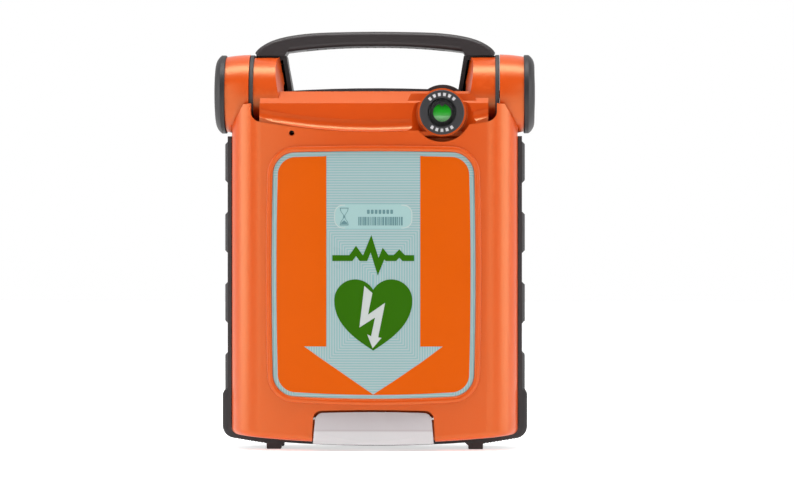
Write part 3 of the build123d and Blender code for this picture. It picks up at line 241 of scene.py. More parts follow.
def moulded(name, colour, roughness, grain_scale, grain_depth, worn=None, specular=0.5, tint=(1, 1, 1)):
    """Moulded plastic or rubber: spark-eroded grain, slow colour drift and handled edges."""
    material, shader, tree = new_material(name)
    base = mix_colour(tree, noise(tree, 38, 4.0), *shades(colour, 0.025))
    worn = worn or tuple(min(1.0, c * 1.25 + 0.01) for c in colour)
    handled = remap(tree, noise(tree, 210, 5.0), 0.45, 0.65, 0.1, 0.6)
    scuffs = compute(tree, "MULTIPLY", edge_wear(tree), handled)
    tree.links.new(mix_colour(tree, scuffs, base, worn), shader.inputs["Base Color"])
    smudge = remap(tree, noise(tree, 26, 6.0, 0.65), 0.3, 0.75, roughness - 0.012, roughness + 0.016)
    tree.links.new(smudge, shader.inputs["Roughness"])
    shader.inputs["Specular Tint"].default_value = (*tint, 1)
    shader.inputs["Specular IOR Level"].default_value = specular
    fine, coarse = noise(tree, grain_scale, 2.0), noise(tree, grain_scale / 3, 2.0)
    grain = compute(tree, "ADD", fine, compute(tree, "MULTIPLY", coarse, 0.6))
    add_bump(tree, shader, grain, grain_depth)
    return material


def latch_plastic():
    """Pale grey plastic with painted light: the face below the crease is painted lighter as if lit from
    above, and a painted shade darkens the crease.
    """
    material, shader, tree = new_material("latch_grey")
    height = coordinate(tree, "Z")
    drift = noise(tree, 60, 4.0)
    # painted light: upper is a shaded copy and lower a lit copy of the same grey, split at the crease
    upper = mix_colour(tree, drift, (0.345, 0.318, 0.325), (0.375, 0.348, 0.355))
    lower = mix_colour(tree, drift, (0.405, 0.39, 0.395), (0.435, 0.42, 0.425))
    above = remap(tree, height, CREASE_Z - 0.3 * MM, CREASE_Z, 0.0, 1.0)
    face = mix_colour(tree, above, lower, upper)
    # painted shade: the grey turns dark along the crease
    away = compute(tree, "ABSOLUTE", compute(tree, "SUBTRACT", height, CREASE_Z))
    crease_shade = remap(tree, away, 0.1 * MM, 1.1 * MM, 0.5, 0.0)
    tree.links.new(mix_colour(tree, crease_shade, face, (0.27, 0.235, 0.235)), shader.inputs["Base Color"])
    tree.links.new(remap(tree, drift, 0.3, 0.75, 0.42, 0.47), shader.inputs["Roughness"])
    add_bump(tree, shader, noise(tree, 2400, 2.0), 0.03 * MM)
    return material


def metal(name, colour, roughness, brushed_along):
    """Metal with fine lines along one axis: 0 for X, 1 for Y, 2 for Z."""
    material, shader, tree = new_material(name)
    coords = tree.nodes.new("ShaderNodeMapping")
    stretch = [900.0, 900.0, 900.0]
    stretch[brushed_along] = 25.0
    coords.inputs["Scale"].default_value = stretch
    tree.links.new(object_coords(tree), coords.inputs["Vector"])
    lines = noise(tree, 1.0, 3.0, 0.6, coords.outputs["Vector"])
    shade = mix_colour(tree, lines, tuple(c * 0.86 for c in colour), colour)
    tree.links.new(shade, shader.inputs["Base Color"])
    shader.inputs["Metallic"].default_value = 1.0
    gloss = remap(tree, lines, 0.3, 0.7, roughness - 0.06, roughness + 0.08)
    tree.links.new(gloss, shader.inputs["Roughness"])
    add_bump(tree, shader, lines, 0.02 * MM, 0.6)
    return material


def clear_plastic():
    material, shader, tree = new_material("clear_cover")
    smear = noise(tree, 120, 4.0)
    shade = mix_colour(tree, smear, (0.93, 0.96, 0.95), (0.9765, 1.0, 0.9975))
    tree.links.new(shade, shader.inputs["Base Color"])
    tree.links.new(remap(tree, smear, 0.3, 0.7, 0.04, 0.09), shader.inputs["Roughness"])
    shader.inputs["Transmission Weight"].default_value = 1.0
    shader.inputs["IOR"].default_value = 1.45
    shader.inputs["Alpha"].default_value = 0.4
    return material


def printed(name, colour, gloss=0.32, fleck=0.03):
    """Ink on a plastic film: flat colour with a faint dot and a soft sheen."""
    material, shader, tree = new_material(name)
    dots = noise(tree, 900, 2.0)
    cloud = noise(tree, 30, 3.0)
    blend = compute(tree, "MULTIPLY_ADD", dots, 0.5, compute(tree, "MULTIPLY", cloud, 0.5))
    tree.links.new(mix_colour(tree, blend, *shades(colour, fleck)), shader.inputs["Base Color"])
    tree.links.new(remap(tree, cloud, 0.3, 0.7, gloss - 0.04, gloss + 0.06), shader.inputs["Roughness"])
    shader.inputs["Specular IOR Level"].default_value = 0.06
    add_bump(tree, shader, dots, 0.006 * MM, 0.5)
    return material


def indicator_green():
    """Painted half of the flag, with a painted highlight as a paler band along its lower edge, and a faint
    painted glow.
    """
    material, shader, tree = new_material("flag_green")
    # painted highlight: the green turns paler below a line just under the window's middle
    band = remap(tree, coordinate(tree, "Z"), INDICATOR.z - 2.3 * MM, INDICATOR.z - 2.0 * MM, 1.0, 0.0)
    speck = noise(tree, 700, 3.0)
    paint = mix_colour(tree, speck, (0.012, 0.40, 0.012), (0.02, 0.50, 0.02))
    colour = mix_colour(tree, band, paint, (0.30, 0.72, 0.30))
    tree.links.new(colour, shader.inputs["Base Color"])
    # painted glow: the green emits its own colour so it looks brighter deep in its window
    tree.links.new(colour, shader.inputs["Emission Color"])
    shader.inputs["Emission Strength"].default_value = 0.2
    shader.inputs["Roughness"].default_value = 0.3
    add_bump(tree, shader, speck, 0.005 * MM, 0.5)
    return material


# Linear colours of the object's materials.
ORANGE = (0.445, 0.046, 0.002)
CHARCOAL = (0.013, 0.0085, 0.009)
RUBBER = (0.018, 0.016, 0.017)
LIGHT_GREY = (0.50, 0.47, 0.48)
LINE_TEAL = (0.16, 0.30, 0.30)
LINE_PALE = (0.29, 0.335, 0.34)
LABEL_ORANGE = (0.475, 0.070, 0.0005)
SIGN_GREEN = (0.020, 0.093, 0.0003)
PRINT_TEAL = (0.09, 0.175, 0.185)

# The frames of lines on the label: half width and half height of the innermost, their middle and pitch.
LINES_HALF_WIDTH = 28.0 * MM
LINES_HALF_HEIGHT = 41.8 * MM
LINES_MIDDLE_Z = 111 * MM
LINES_PITCH = 1.81 * MM


def striped_label():
    """Security print: fine teal and grey lines that run round the symbols as nested frames."""
    material, shader, tree = new_material("label_lines")
    side = compute(tree, "SUBTRACT", compute(tree, "ABSOLUTE", coordinate(tree, "X")), LINES_HALF_WIDTH)
    rise = compute(tree, "ABSOLUTE", compute(tree, "SUBTRACT", coordinate(tree, "Z"), LINES_MIDDLE_Z))
    rise = compute(tree, "SUBTRACT", rise, LINES_HALF_HEIGHT)
    phase = compute(tree, "MULTIPLY", compute(tree, "MAXIMUM", side, rise), 2 * pi / LINES_PITCH)
    wave = remap(tree, compute(tree, "SINE", phase), -0.7, 0.7, 0.0, 1.0)
    tree.links.new(mix_colour(tree, wave, LINE_TEAL, LINE_PALE), shader.inputs["Base Color"])
    shader.inputs["Specular IOR Level"].default_value = 0.15
    tree.links.new(remap(tree, noise(tree, 30, 3.0), 0.3, 0.7, 0.26, 0.36), shader.inputs["Roughness"])
    add_bump(tree, shader, noise(tree, 1200, 2.0), 0.004 * MM, 0.5)
    return material


def circuit_board():
    """Green solder mask over copper tracks."""
    material, shader, tree = new_material("solder_mask")
    cells = tree.nodes.new("ShaderNodeTexVoronoi")
    cells.distance = "MANHATTAN"
    cells.feature = "DISTANCE_TO_EDGE"
    cells.inputs["Scale"].default_value = 160
    cells.inputs["Randomness"].default_value = 0.75
    tree.links.new(object_coords(tree), cells.inputs["Vector"])
    track = remap(tree, cells.outputs["Distance"], 0.05, 0.09, 1.0, 0.0)
    shade = mix_colour(tree, track, (0.008, 0.07, 0.028), (0.02, 0.16, 0.06))
    tree.links.new(shade, shader.inputs["Base Color"])
    shader.inputs["Roughness"].default_value = 0.32
    add_bump(tree, shader, track, 0.05 * MM)
    return material


def foil_material():
    """Foil laminate: pale and satin, crinkled by folding."""
    material, shader, tree = new_material("foil_laminate")
    folds = noise(tree, 48, 6.0, 0.6)
    fine = noise(tree, 260, 4.0, 0.6)
    shade = mix_colour(tree, folds, (0.50, 0.54, 0.55), (0.66, 0.70, 0.70))
    tree.links.new(shade, shader.inputs["Base Color"])
    shader.inputs["Metallic"].default_value = 0.35
    tree.links.new(remap(tree, fine, 0.3, 0.7, 0.28, 0.46), shader.inputs["Roughness"])
    crinkle = compute(tree, "ADD", folds, compute(tree, "MULTIPLY", fine, 0.18))
    add_bump(tree, shader, crinkle, 1.2 * MM, 0.8)
    return material


def speaker_cone_material():
    material, shader, tree = new_material("paper_cone")
    pulp = noise(tree, 700, 5.0, 0.6)
    shade = mix_colour(tree, pulp, (0.02, 0.02, 0.02), (0.07, 0.065, 0.06))
    tree.links.new(shade, shader.inputs["Base Color"])
    shader.inputs["Roughness"].default_value = 0.9
    add_bump(tree, shader, pulp, 0.1 * MM)
    return material


def wound_copper():
    """Enamelled wire wound side by side."""
    material, shader, tree = new_material("wound_copper")
    wave = tree.nodes.new("ShaderNodeTexWave")
    wave.bands_direction = "Z"
    wave.inputs["Scale"].default_value = 420
    wave.inputs["Distortion"].default_value = 0.6
    tree.links.new(object_coords(tree), wave.inputs["Vector"])
    shade = mix_colour(tree, wave.outputs["Fac"], (0.22, 0.08, 0.02), (0.62, 0.27, 0.09))
    tree.links.new(shade, shader.inputs["Base Color"])
    shader.inputs["Metallic"].default_value = 0.7
    shader.inputs["Roughness"].default_value = 0.35
    add_bump(tree, shader, wave.outputs["Fac"], 0.2 * MM)
    return material


def make_materials():
    """After the colour, moulded takes roughness, grain scale and grain depth; printed takes gloss, fleck."""
    return {
        "orange": moulded("orange_case", ORANGE, 0.31, 2300, 0.03 * MM, (0.7, 0.13, 0.03), 0.58, (1, 1, 0.5)),
        "charcoal": moulded("charcoal_case", CHARCOAL, 0.46, 1900, 0.05 * MM, (0.05, 0.045, 0.048), 0.4),
        "rubber": moulded("black_rubber", RUBBER, 0.62, 2600, 0.04 * MM, (0.06, 0.055, 0.06), 0.45),
        "cap_rubber": moulded("cap_rubber", (0.009, 0.0075, 0.0085), 0.5, 2400, 0.03 * MM, specular=0.38),
        "latch_grey": latch_plastic(),
        "grey": moulded("inner_grey", LIGHT_GREY, 0.5, 1800, 0.04 * MM),
        "panel": moulded("panel_grey", (0.055, 0.058, 0.062), 0.5, 1500, 0.05 * MM),
        "steel": metal("plain_steel", (0.62, 0.61, 0.60), 0.3, 0),
        "brass": metal("plated_brass", (0.85, 0.62, 0.26), 0.25, 1),
        "aluminium": metal("extruded_aluminium", (0.78, 0.78, 0.80), 0.38, 2),
        "acetal": moulded("acetal", (0.78, 0.77, 0.72), 0.35, 1200, 0.02 * MM),
        "clear": clear_plastic(),
        "window": printed("window_film", (0.25, 0.375, 0.37), 0.16, 0.05),
        "label_lines": striped_label(),
        "label_orange": printed("label_orange", LABEL_ORANGE),
        "sign_green": printed("sign_green", SIGN_GREEN),
        "sign_pale": printed("sign_pale", (0.37, 0.395, 0.385)),
        "print_teal": printed("print_teal", PRINT_TEAL),
        "print_white": printed("print_white", (0.42, 0.41, 0.42)),
        "print_black": printed("print_black", (0.02, 0.02, 0.02)),
        "flag_green": indicator_green(),
        "flag_red": printed("flag_red", (0.62, 0.012, 0.008), 0.3, 0.12),
        "button_red": moulded("button_red", (0.40, 0.010, 0.006), 0.32, 2200, 0.02 * MM),
        "button_green": moulded("button_green", (0.014, 0.15, 0.022), 0.34, 2200, 0.02 * MM),
        "display": printed("display_glass", (0.012, 0.016, 0.015), 0.08),
        "board": circuit_board(),
        "foil": foil_material(),
        "cone": speaker_cone_material(),
        "copper": wound_copper(),
        "mask": moulded("mask_black", (0.012, 0.011, 0.012), 0.4, 1500, 0.03 * MM),
        "bezel": moulded("bezel_black", (0.02, 0.019, 0.021), 0.4, 2400, 0.025 * MM, specular=0.4),
        "sleeve_blue": moulded("capacitor_sleeve", (0.03, 0.05, 0.16), 0.3, 900, 0.02 * MM),
        "liquid_crystal": printed("liquid_crystal", (0.34, 0.40, 0.30), 0.2),
        "plate_silver": printed("plate_silver", (0.55, 0.55, 0.56), 0.3, 0.06),
    }


# Which CAD nodes wear which material.
DRESS = {
    "orange": ("lid_shell", "front_deck"),
    "charcoal": ("rear_housing", "carry_handle", "battery_pack", "connector_plate", "pads_socket",
                 "data_port"),
    "rubber": ("bumper_band", "rubber_feet", "handle_grip", "port_cover", "housing_gasket", "lid_gasket",
               "switch_domes", "hinge_ring_left", "hinge_ring_right"),
    "cap_rubber": ("end_cap_left", "end_cap_right"),
    "latch_grey": ("latch_lever",),
    "grey": ("lid_inner_tray", "battery_contacts", "internal_chassis", "capacitor_clamps", "battery_latch"),
    "panel": ("control_panel",),
    "steel": ("hinge_pins", "latch_pin", "latch_spring", "latch_keeper", "housing_screws", "handle_screws",
              "board_screws", "chassis_screws", "flag_axle", "port_cover_pin"),
    "label_lines": ("label_panel",),
    "clear": ("indicator_lens", "display_lens"),
    "window": ("pads_window",),
    "flag_green": ("flag_drum_green",),
    "flag_red": ("flag_drum_red",),
    "button_red": ("shock_button",),
    "button_green": ("info_button",),
    "board": ("main_board", "switch_board"),
    "copper": ("indicator_coil", "charging_transformer"),
    "brass": ("contact_blades", "pads_contacts"),
    "acetal": ("hinge_bushes",),
    "aluminium": ("power_heatsink",),
    "foil": ("electrode_pouch",),
    "mask": ("indicator_mask", "discharge_relay", "alert_sounder"),
    "bezel": ("indicator_bezel",),
    "display": ("display_module",),
    "sleeve_blue": ("hv_capacitor",),
    "cone": ("speaker",),
}


def dress_cad(materials):
    for key, names in DRESS.items():
        for name in names:
            mesh = NODES[name].data
            mesh.materials.clear()
            mesh.materials.append(materials[key])


# ---------------------------------------------------------------- outlines, as (x, z) points in millimetres
def arc_points(x, z, radius, start, end, count):
    step = (end - start) / count
    angles = [radians(start + step * i) for i in range(count + 1)]
    return [(x + radius * cos(angle), z + radius * sin(angle)) for angle in angles]


def circle(x, z, radius, count=48):
    return arc_points(x, z, radius, 0, 360, count)[:-1]


def rounded(x0, z0, x1, z1, radius, count=8):
    """Rectangle with round corners, anticlockwise from its lower right."""
    points = arc_points(x1 - radius, z0 + radius, radius, -90, 0, count)
    points += arc_points(x1 - radius, z1 - radius, radius, 0, 90, count)
    points += arc_points(x0 + radius, z1 - radius, radius, 90, 180, count)
    return points + arc_points(x0 + radius, z0 + radius, radius, 180, 270, count)


def framed(x0, z0, x1, z1, line, outer_radius, inner_radius, count=8):
    """The two outlines of a rectangular frame whose line lies inside the given corners."""
    inner = rounded(x0 + line, z0 + line, x1 - line, z1 - line, inner_radius, count)
    return [rounded(x0, z0, x1, z1, outer_radius, count), inner]


def upright(x, width, low, high):
    """Plain rectangle from x to x + width."""
    return [(x, low), (x + width, low), (x + width, high), (x, high)]


def bar_row(chance, start, end, low, high, widths, gaps):
    """Upright bars of chance widths and gaps, from start until end is passed."""
    bars = []
    while start < end:
        wide = chance.choice(widths)
        bars.append(upright(start, wide, low, high))
        start += wide + chance.choice(gaps)
    return bars


def bezier(a, b, c, d, count=16):
    """Points of a cubic curve from a to d, d left out."""
    points = []
    for i in range(count):
        t = i / count
        s = 1 - t
        weights = (s**3, 3 * s * s * t, 3 * s * t * t, t**3)
        points.append(tuple(sum(w * p[k] for w, p in zip(weights, (a, b, c, d))) for k in (0, 1)))
    return points


def bowed(start, end, sag, count=24):
    """Points from start to end on a shallow arc that stands sag outside the chord, the end left out."""
    dx, dz = end[0] - start[0], end[1] - start[1]
    length = hypot(dx, dz)
    points = []
    for i in range(count):
        t = i / count
        bulge = 4 * sag * t * (1 - t)
        points.append((start[0] + dx * t + dz / length * bulge, start[1] + dz * t - dx / length * bulge))
    return points


def stroke(points, width):
    """Outline of a thick line through the points, with mitred corners."""
    sides = ([], [])
    steps = [Vector(b) - Vector(a) for a, b in zip(points, points[1:])]
    for i, (x, z) in enumerate(points):
        before, after = steps[max(i - 1, 0)], steps[min(i, len(steps) - 1)]
        across_before = Vector((-before.y, before.x)).normalized()
        across_after = Vector((-after.y, after.x)).normalized()
        mitre = (across_before + across_after).normalized()
        reach = width / 2 / max(0.3, mitre.dot(across_before))
        for side, sign in zip(sides, (1, -1)):
            side.append((x + sign * mitre.x * reach, z + sign * mitre.y * reach))
    return sides[0] + sides[1][::-1]


def moved(points, x, z, size=1.0):
    return [(x + size * px, z + size * pz) for px, pz in points]


# ---------------------------------------------------------------- surfaces: from x and z in metres to a point
def crowned(front, lift):
    """The crowned face of the lid whose foremost line is at front, moved forward by lift."""
    return lambda x, z: Vector((x, front + LID_CROWN_R - sqrt(LID_CROWN_R**2 - x * x) - lift, z))


def on_label(lift):
    return crowned(PANEL[0].y, lift)


def on_plane(y):
    return lambda x, z: Vector((x, y, z))


# ---------------------------------------------------------------- flat drawing, laid on a surface
def add_mesh(name, vertices, faces, material, body, smooth=False):
    mesh = bpy.data.meshes.new(name)
    mesh.from_pydata(vertices, [], faces)
    mesh.validate()
    mesh.materials.append(material)
    for polygon in mesh.polygons:
        polygon.use_smooth = smooth
    piece = bpy.data.objects.new(name, mesh)
    SCENE.collection.objects.link(piece)
    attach(piece, body)
    return piece


def mend(piece, merge=0.0):
    """Merges points closer than merge, drops loose points and turns every face outwards."""
    work = bmesh.new()
    work.from_mesh(piece.data)
    if merge:
        bmesh.ops.remove_doubles(work, verts=work.verts, dist=merge)
    bmesh.ops.delete(work, geom=[v for v in work.verts if not v.link_faces], context="VERTS")
    bmesh.ops.recalc_face_normals(work, faces=work.faces)
    work.to_mesh(piece.data)
    work.free()


def is_inside(point, loop):
    inside = False
    for (x0, z0), (x1, z1) in zip(loop, loop[1:] + loop[:1]):
        if (z0 > point.y) != (z1 > point.y) and point.x < (x1 - x0) * (point.y - z0) / (z1 - z0) + x0:
            inside = not inside
    return inside


def inlay(name, outlines, surface, material, body, thickness=0.08 * MM, cell=None):
    """A thin piece laid on a surface.

    The outlines are in millimetres, and one inside another is a hole. With a cell, in metres, points on a
    grid let the piece bend with the surface.
    """
    loops = [[(x * MM, z * MM) for x, z in outline] for outline in outlines]
    points, edges = [], []
    for loop in loops:
        start = len(points)
        points += [Vector(p) for p in loop]
        edges += [(start + i, start + (i + 1) % len(loop)) for i in range(len(loop))]
    if cell:
        xs, zs = [p.x for p in points], [p.y for p in points]
        for i in range(int((max(xs) - min(xs)) / cell)):
            for j in range(int((max(zs) - min(zs)) / (2 * cell))):
                points.append(Vector((min(xs) + (i + 0.5) * cell, min(zs) + (j + 0.5) * 2 * cell)))
    flat, _, faces, _, _, _ = delaunay_2d_cdt(points, edges, [], 0, 1e-7)
    filled = []
    for face in faces:
        centre = sum((flat[i] for i in face), Vector((0, 0))) / len(face)
        if sum(is_inside(centre, loop) for loop in loops) % 2:
            filled.append(face)
    front = [surface(p.x, p.y) for p in flat]
    back = [p + Vector((0, thickness, 0)) for p in front]
    count = len(flat)
    sides = {(face[i], face[(i + 1) % len(face)]): None for face in filled for i in range(len(face))}
    walls = [(a, a + count, b + count, b) for a, b in sides if (b, a) not in sides]
    faces = [tuple(reversed(face)) for face in filled] + [tuple(i + count for i in face) for face in filled]
    piece = add_mesh(name, front + back, faces + walls, material, body)
    mend(piece)
    return piece


# ---------------------------------------------------------------- the label on the lid, in millimetres
PANEL_SAG = (1.5, 2.6, 1.0)  # how far the sides, the bottom and the top bow out
SAG_AT_CORNER = 0.35  # the share of each bow that is already reached at the corners
PANEL_CORNER = 16.2
BORDER = 3.5
ARROW_SHAFT = 33.3
ARROW_HEAD = 49.2
ARROW_HEAD_Z = 74.5
ARROW_TIP_Z = 40.5
HEART_LOBE = (12.84, 107.3)
HEART_LOBE_R = 14.83
HEART_TIP = (0, 71.7)
BOLT = [(-6.3, 117.5), (-9.8, 88.0), (1.3, 95.1), (-1.5, 81.8), (-4.3, 83.2), (-0.4, 73.3), (5.9, 80.7),
        (3.5, 81.0), (8.4, 105.5), (-3.7, 97.1), (-0.6, 112.4)]
TRACE = [(-29.0, 137.2), (-15.8, 137.2), (-12.2, 142.3), (-8.6, 137.2), (-5.7, 137.2), (-1.6, 147.4),
         (3.5, 131.1), (7.3, 140.4), (9.8, 137.2), (15.3, 137.2), (18.5, 140.4), (21.6, 137.2), (29.0, 137.2)]
TRACE_WIDTH = 4.2
PANEL_MIDDLE_Z = (PANEL[0].z + PANEL[1].z) / 2 / MM
RIM_WIDTH = 3.7


def panel_ring(inset):
    """The label's outline moved in by inset, anticlockwise from its lower left."""
    side, low, high = (sag * SAG_AT_CORNER for sag in PANEL_SAG)
    bow_side, bow_low, bow_high = (sag * (1 - SAG_AT_CORNER) for sag in PANEL_SAG)
    corner = PANEL_CORNER - inset
    chord_x = PANEL[1].x / MM - inset - PANEL_SAG[0]
    edge_x = chord_x + side
    bottom, top = PANEL[0].z / MM + inset, PANEL[1].z / MM - inset
    side_low, side_high = bottom + PANEL_SAG[1] + corner, top - PANEL_SAG[2] - corner
    ring = bowed((-chord_x + corner, bottom + low), (chord_x - corner, bottom + low), bow_low)
    ring += arc_points(edge_x - corner, bottom + low + corner, corner, -90, 0, 10)
    ring += bowed((edge_x, side_low), (edge_x, side_high), bow_side)
    ring += arc_points(edge_x - corner, top - high - corner, corner, 0, 90, 10)
    ring += bowed((chord_x - corner, top - high), (-chord_x + corner, top - high), bow_high)
    ring += arc_points(-edge_x + corner, top - high - corner, corner, 90, 180, 10)
    ring += bowed((-edge_x, side_high), (-edge_x, side_low), bow_side)
    return ring + arc_points(-edge_x + corner, bottom + low + corner, corner, 180, 270, 10)


def label_field():
    """The orange field right of the label's middle line, with the arrow cut out.

    The straight end of the arrow's shaft takes the place of the ring's points above it.
    """
    ring = [(x, z) for x, z in panel_ring(BORDER) if x > 0]
    low, top = min(z for x, z in ring), max(z for x, z in ring)
    outer = [(x, z) for x, z in ring if x > ARROW_SHAFT or z < PANEL_MIDDLE_Z]
    arrow = [(ARROW_SHAFT, top), (ARROW_SHAFT, ARROW_HEAD_Z), (ARROW_HEAD, ARROW_HEAD_Z), (0.0, ARROW_TIP_Z)]
    return [(0.0, low)] + outer + arrow


def heart_outline():
    """Heart, clockwise from its notch."""
    x, z = HEART_LOBE
    notch = degrees(atan2(sqrt(HEART_LOBE_R**2 - x**2), -x))
    right = arc_points(x, z, HEART_LOBE_R, notch, 0, 24)
    right += bezier((x + HEART_LOBE_R, z), (27.7, 91.2), (14.8, 81.0), HEART_TIP)[1:]
    left = [(-x, z) for x, z in reversed(right[1:])]
    return right + [HEART_TIP] + left


def label_graphics(materials):
    """The orange fields beside the arrow, the heart with its bolt, and the pulse trace."""
    surface = on_label(0.10 * MM)
    orange, green = materials["label_orange"], materials["sign_green"]
    for side, sign in (("right", 1), ("left", -1)):
        field = [(sign * x, z) for x, z in label_field()]
        inlay(f"label_field_{side}", [field], surface, orange, "lid", cell=5 * MM)
    inlay("label_heart", [heart_outline()], surface, green, "lid", cell=5 * MM)
    inlay("label_bolt", [BOLT], on_label(0.16 * MM), materials["sign_pale"], "lid")
    inlay("label_pulse", [stroke(TRACE, TRACE_WIDTH)], surface, green, "lid", cell=5 * MM)


def add_rim_bead(materials):
    """Rounded crest on the raised rim that frames the label, as rings from its inner to its outer edge."""
    crest, foot, rows = 0.55 * MM, 0.87 * MM, 11
    vertices = []
    for k in range(rows):
        across = k / (rows - 1)
        place = on_label(foot + crest * sin(pi * across) ** 0.8)
        vertices += [place(x * MM, z * MM) for x, z in panel_ring(-0.1 - RIM_WIDTH * across)]
    count = len(vertices) // rows
    faces = []
    for k in range(rows):
        for i in range(count):
            j, n = (i + 1) % count, (k + 1) % rows
            faces.append((k * count + i, k * count + j, n * count + j, n * count + i))
    orange = materials["orange"]
    mend(add_mesh("label_rim_bead", vertices, faces, orange, "lid", smooth=True))


# ---------------------------------------------------------------- the window on the label
def hourglass(x, z):
    """Outlines of the glass with its two hollows, and of the sand in the lower one; the waist is at x, z."""
    def half(waist, belly, top):
        """Half outline from the top to the foot, as (distance from the axis, z)."""
        upper = bezier((belly, z + top), (belly, z + 2.6), (waist, z + 2.2), (waist, z), 8)
        return upper + [(w, 2 * z - height) for w, height in reversed(upper[:-1])]

    def closed(side):
        return [(x + w, height) for w, height in side] + [(x - w, height) for w, height in reversed(side)]

    glass = closed(half(0.55, 3.1, 6.3))
    hollow_top = closed([(w, height) for w, height in half(0.05, 2.45, 5.7) if height > z])
    hollow_low = [(px, 2 * z - pz) for px, pz in hollow_top]
    sand = [(x - 2.3, z - 5.5), (x + 2.3, z - 5.5), (x + 1.9, z - 4.2), (x, z - 2.6), (x - 1.9, z - 4.2)]
    return [glass, hollow_top, hollow_low], [sand]


def window_print(materials):
    """Hourglass, a row of bars and a row of dashes on the clear window, inside a pale line round its edge
    that is a painted highlight on its rim.
    """
    (x0, z0), (x1, z1) = ((corner.x / MM, corner.z / MM) for corner in WINDOW)
    middle = (z0 + z1) / 2
    surface = crowned(WINDOW[0].y, 0.05 * MM)
    # painted highlight: a pale ring round the window's edge stands in for the light on its rim
    outline = framed(x0 + 0.3, z0 + 0.3, x1 - 0.3, z1 - 0.3, 0.5, 6.3, 5.8)
    inlay("window_rim_painted_highlight", outline, surface, materials["sign_pale"], "lid")
    glass, sand = hourglass(-20.6, middle)
    bars = bar_row(random.Random(7), -10.6, 21.0, middle - 6.3, middle - 0.2, (0.45, 0.8, 1.3), (0.35, 0.55))
    lefts = [-4.4 + 2.75 * i for i in range(7)]
    dashes = [rounded(left, middle + 1.9, left + 1.9, middle + 4.9, 0.5, 3) for left in lefts]
    for name, outlines in (("hourglass", glass), ("sand", sand), ("bars", bars), ("dashes", dashes)):
        inlay(f"window_{name}", outlines, surface, materials["print_teal"], "lid")


# ---------------------------------------------------------------- print on flat faces
def flat_print(name, outlines, y, material, body):
    inlay(name, outlines, on_plane(y), material, body, thickness=0.06 * MM)


def indicator_ticks(materials):
    """Short marks round the bezel, over and under the window."""
    x, z = INDICATOR.x / MM, INDICATOR.z / MM
    outer, inner, half, pitch = 13.9, 11.6, 4.3, 16.5
    marks = []
    for centre, count in ((90, 6), (270, 5)):
        for i in range(count):
            angle = centre + (i - (count - 1) / 2) * pitch
            mark = arc_points(x, z, outer, angle - half, angle + half, 4)
            marks.append(mark + arc_points(x, z, inner, angle + half, angle - half, 4))
    surface = on_plane(BEZEL[0].y - 0.06 * MM)
    inlay("bezel_marks", marks, surface, materials["print_white"], "body")


def button_prints(materials):
    """A bolt on the shock button, three dots on the other, and a ring round each."""
    white = materials["print_white"]
    for name, radius, slot in (("shock_button", 15, "red_plastic"), ("info_button", 8, "green_plastic")):
        low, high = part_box(name)
        x, z = (low.x + high.x) / 2 / MM, (low.z + high.z) / 2 / MM
        if name == "shock_button":
            symbol = [moved(BOLT, x + 0.3, z - 47.5, 0.5)]
        else:
            symbol = [circle(x + dx, z, 1.1, 20) for dx in (-3.4, 0, 3.4)]
        flat_print(f"{name}_symbol", symbol, low.y - INK_LIFT, white, name)
        ring = [circle(x, z, radius + 4.2), circle(x, z, radius + 2.6)]
        flat_print(f"{name}_ring", ring, CONTROLS_Y - INK_LIFT, white, "body")


# Middles of the signs on the control panel, in millimetres.
CHEST = (-10.0, 78.0)
SOCKET = (-58.0, 96.0)
SPEAKER = (56, 168)
# The right side of the trunk and its arm, from the neck down to the waist, about the middle of the chest.
TRUNK_SIDE = [(8, 34), (22, 28), (27, 20), (25, -34), (18, -34), (17, 6), (14, 10), (13, -36)]


def placement_signs(materials, y):
    """A chest with the two pads in their places."""
    x, z = CHEST
    trunk = [(-px, pz) for px, pz in TRUNK_SIDE] + list(reversed(TRUNK_SIDE))
    pads = [(x - 12, z + 8, x - 3, z + 22), (x + 2, z - 18, x + 11, z - 4)]
    outlines = [moved(trunk, x, z), circle(x, z + 44.5, 8.4)] + [rounded(*pad, 2.4) for pad in pads]
    flat_print("placement_figure", outlines, y, materials["print_white"], "body")
    inner = []
    for x0, z0, x1, z1 in pads:
        middle_x, middle_z = (x0 + x1) / 2, (z0 + z1) / 2
        inner.append([(px + (1.1 if px < middle_x else -1.1), pz + (1.1 if pz < middle_z else -1.1))
                      for px, pz in rounded(x0, z0, x1, z1, 2.4)])
    flat_print("placement_pads", inner, y, materials["label_orange"], "body")


def socket_signs(materials, y):
    """Arrows down to the pads' socket and a frame round it."""
    x, z = SOCKET
    chevron = [(-9, 20), (0, 15), (9, 20), (9, 22.4), (0, 17.4), (-9, 22.4)]
    chevrons = [moved(chevron, x, z + rise) for rise in (0, 5, 10)]
    flat_print("socket_arrows", chevrons, y, materials["label_orange"], "body")
    frame_line = framed(x - 19.5, z - 13.5, x + 19.5, z + 13.5, 1.2, 4.5, 3.6)
    flat_print("socket_frame", frame_line, y, materials["label_orange"], "body")


def control_panel_prints(materials):
    """Where the pads go on a chest, arrows to their socket and sound waves by the speaker."""
    y = CONTROLS_Y - INK_LIFT
    placement_signs(materials, y)
    socket_signs(materials, y)
    x, z = SPEAKER
    spread = 28
    waves = []
    for radius in (24.5, 27.5):
        wave = arc_points(x, z, radius + 1.2, 180 - spread, 180 + spread, 10)
        waves.append(wave + arc_points(x, z, radius, 180 + spread, 180 - spread, 10))
    flat_print("speaker_waves", waves, y, materials["print_white"], "body")


# One beat of the heart on the display, from the line's left end.
BEAT = [(0, 0), (5, 0), (6.5, 1.6), (8, 0), (9.4, 0), (10.4, -1.4), (12.4, 9.5), (14.4, -3.4), (15.6, 0),
        (18.6, 0), (20.6, 2.2), (22.6, 0)]


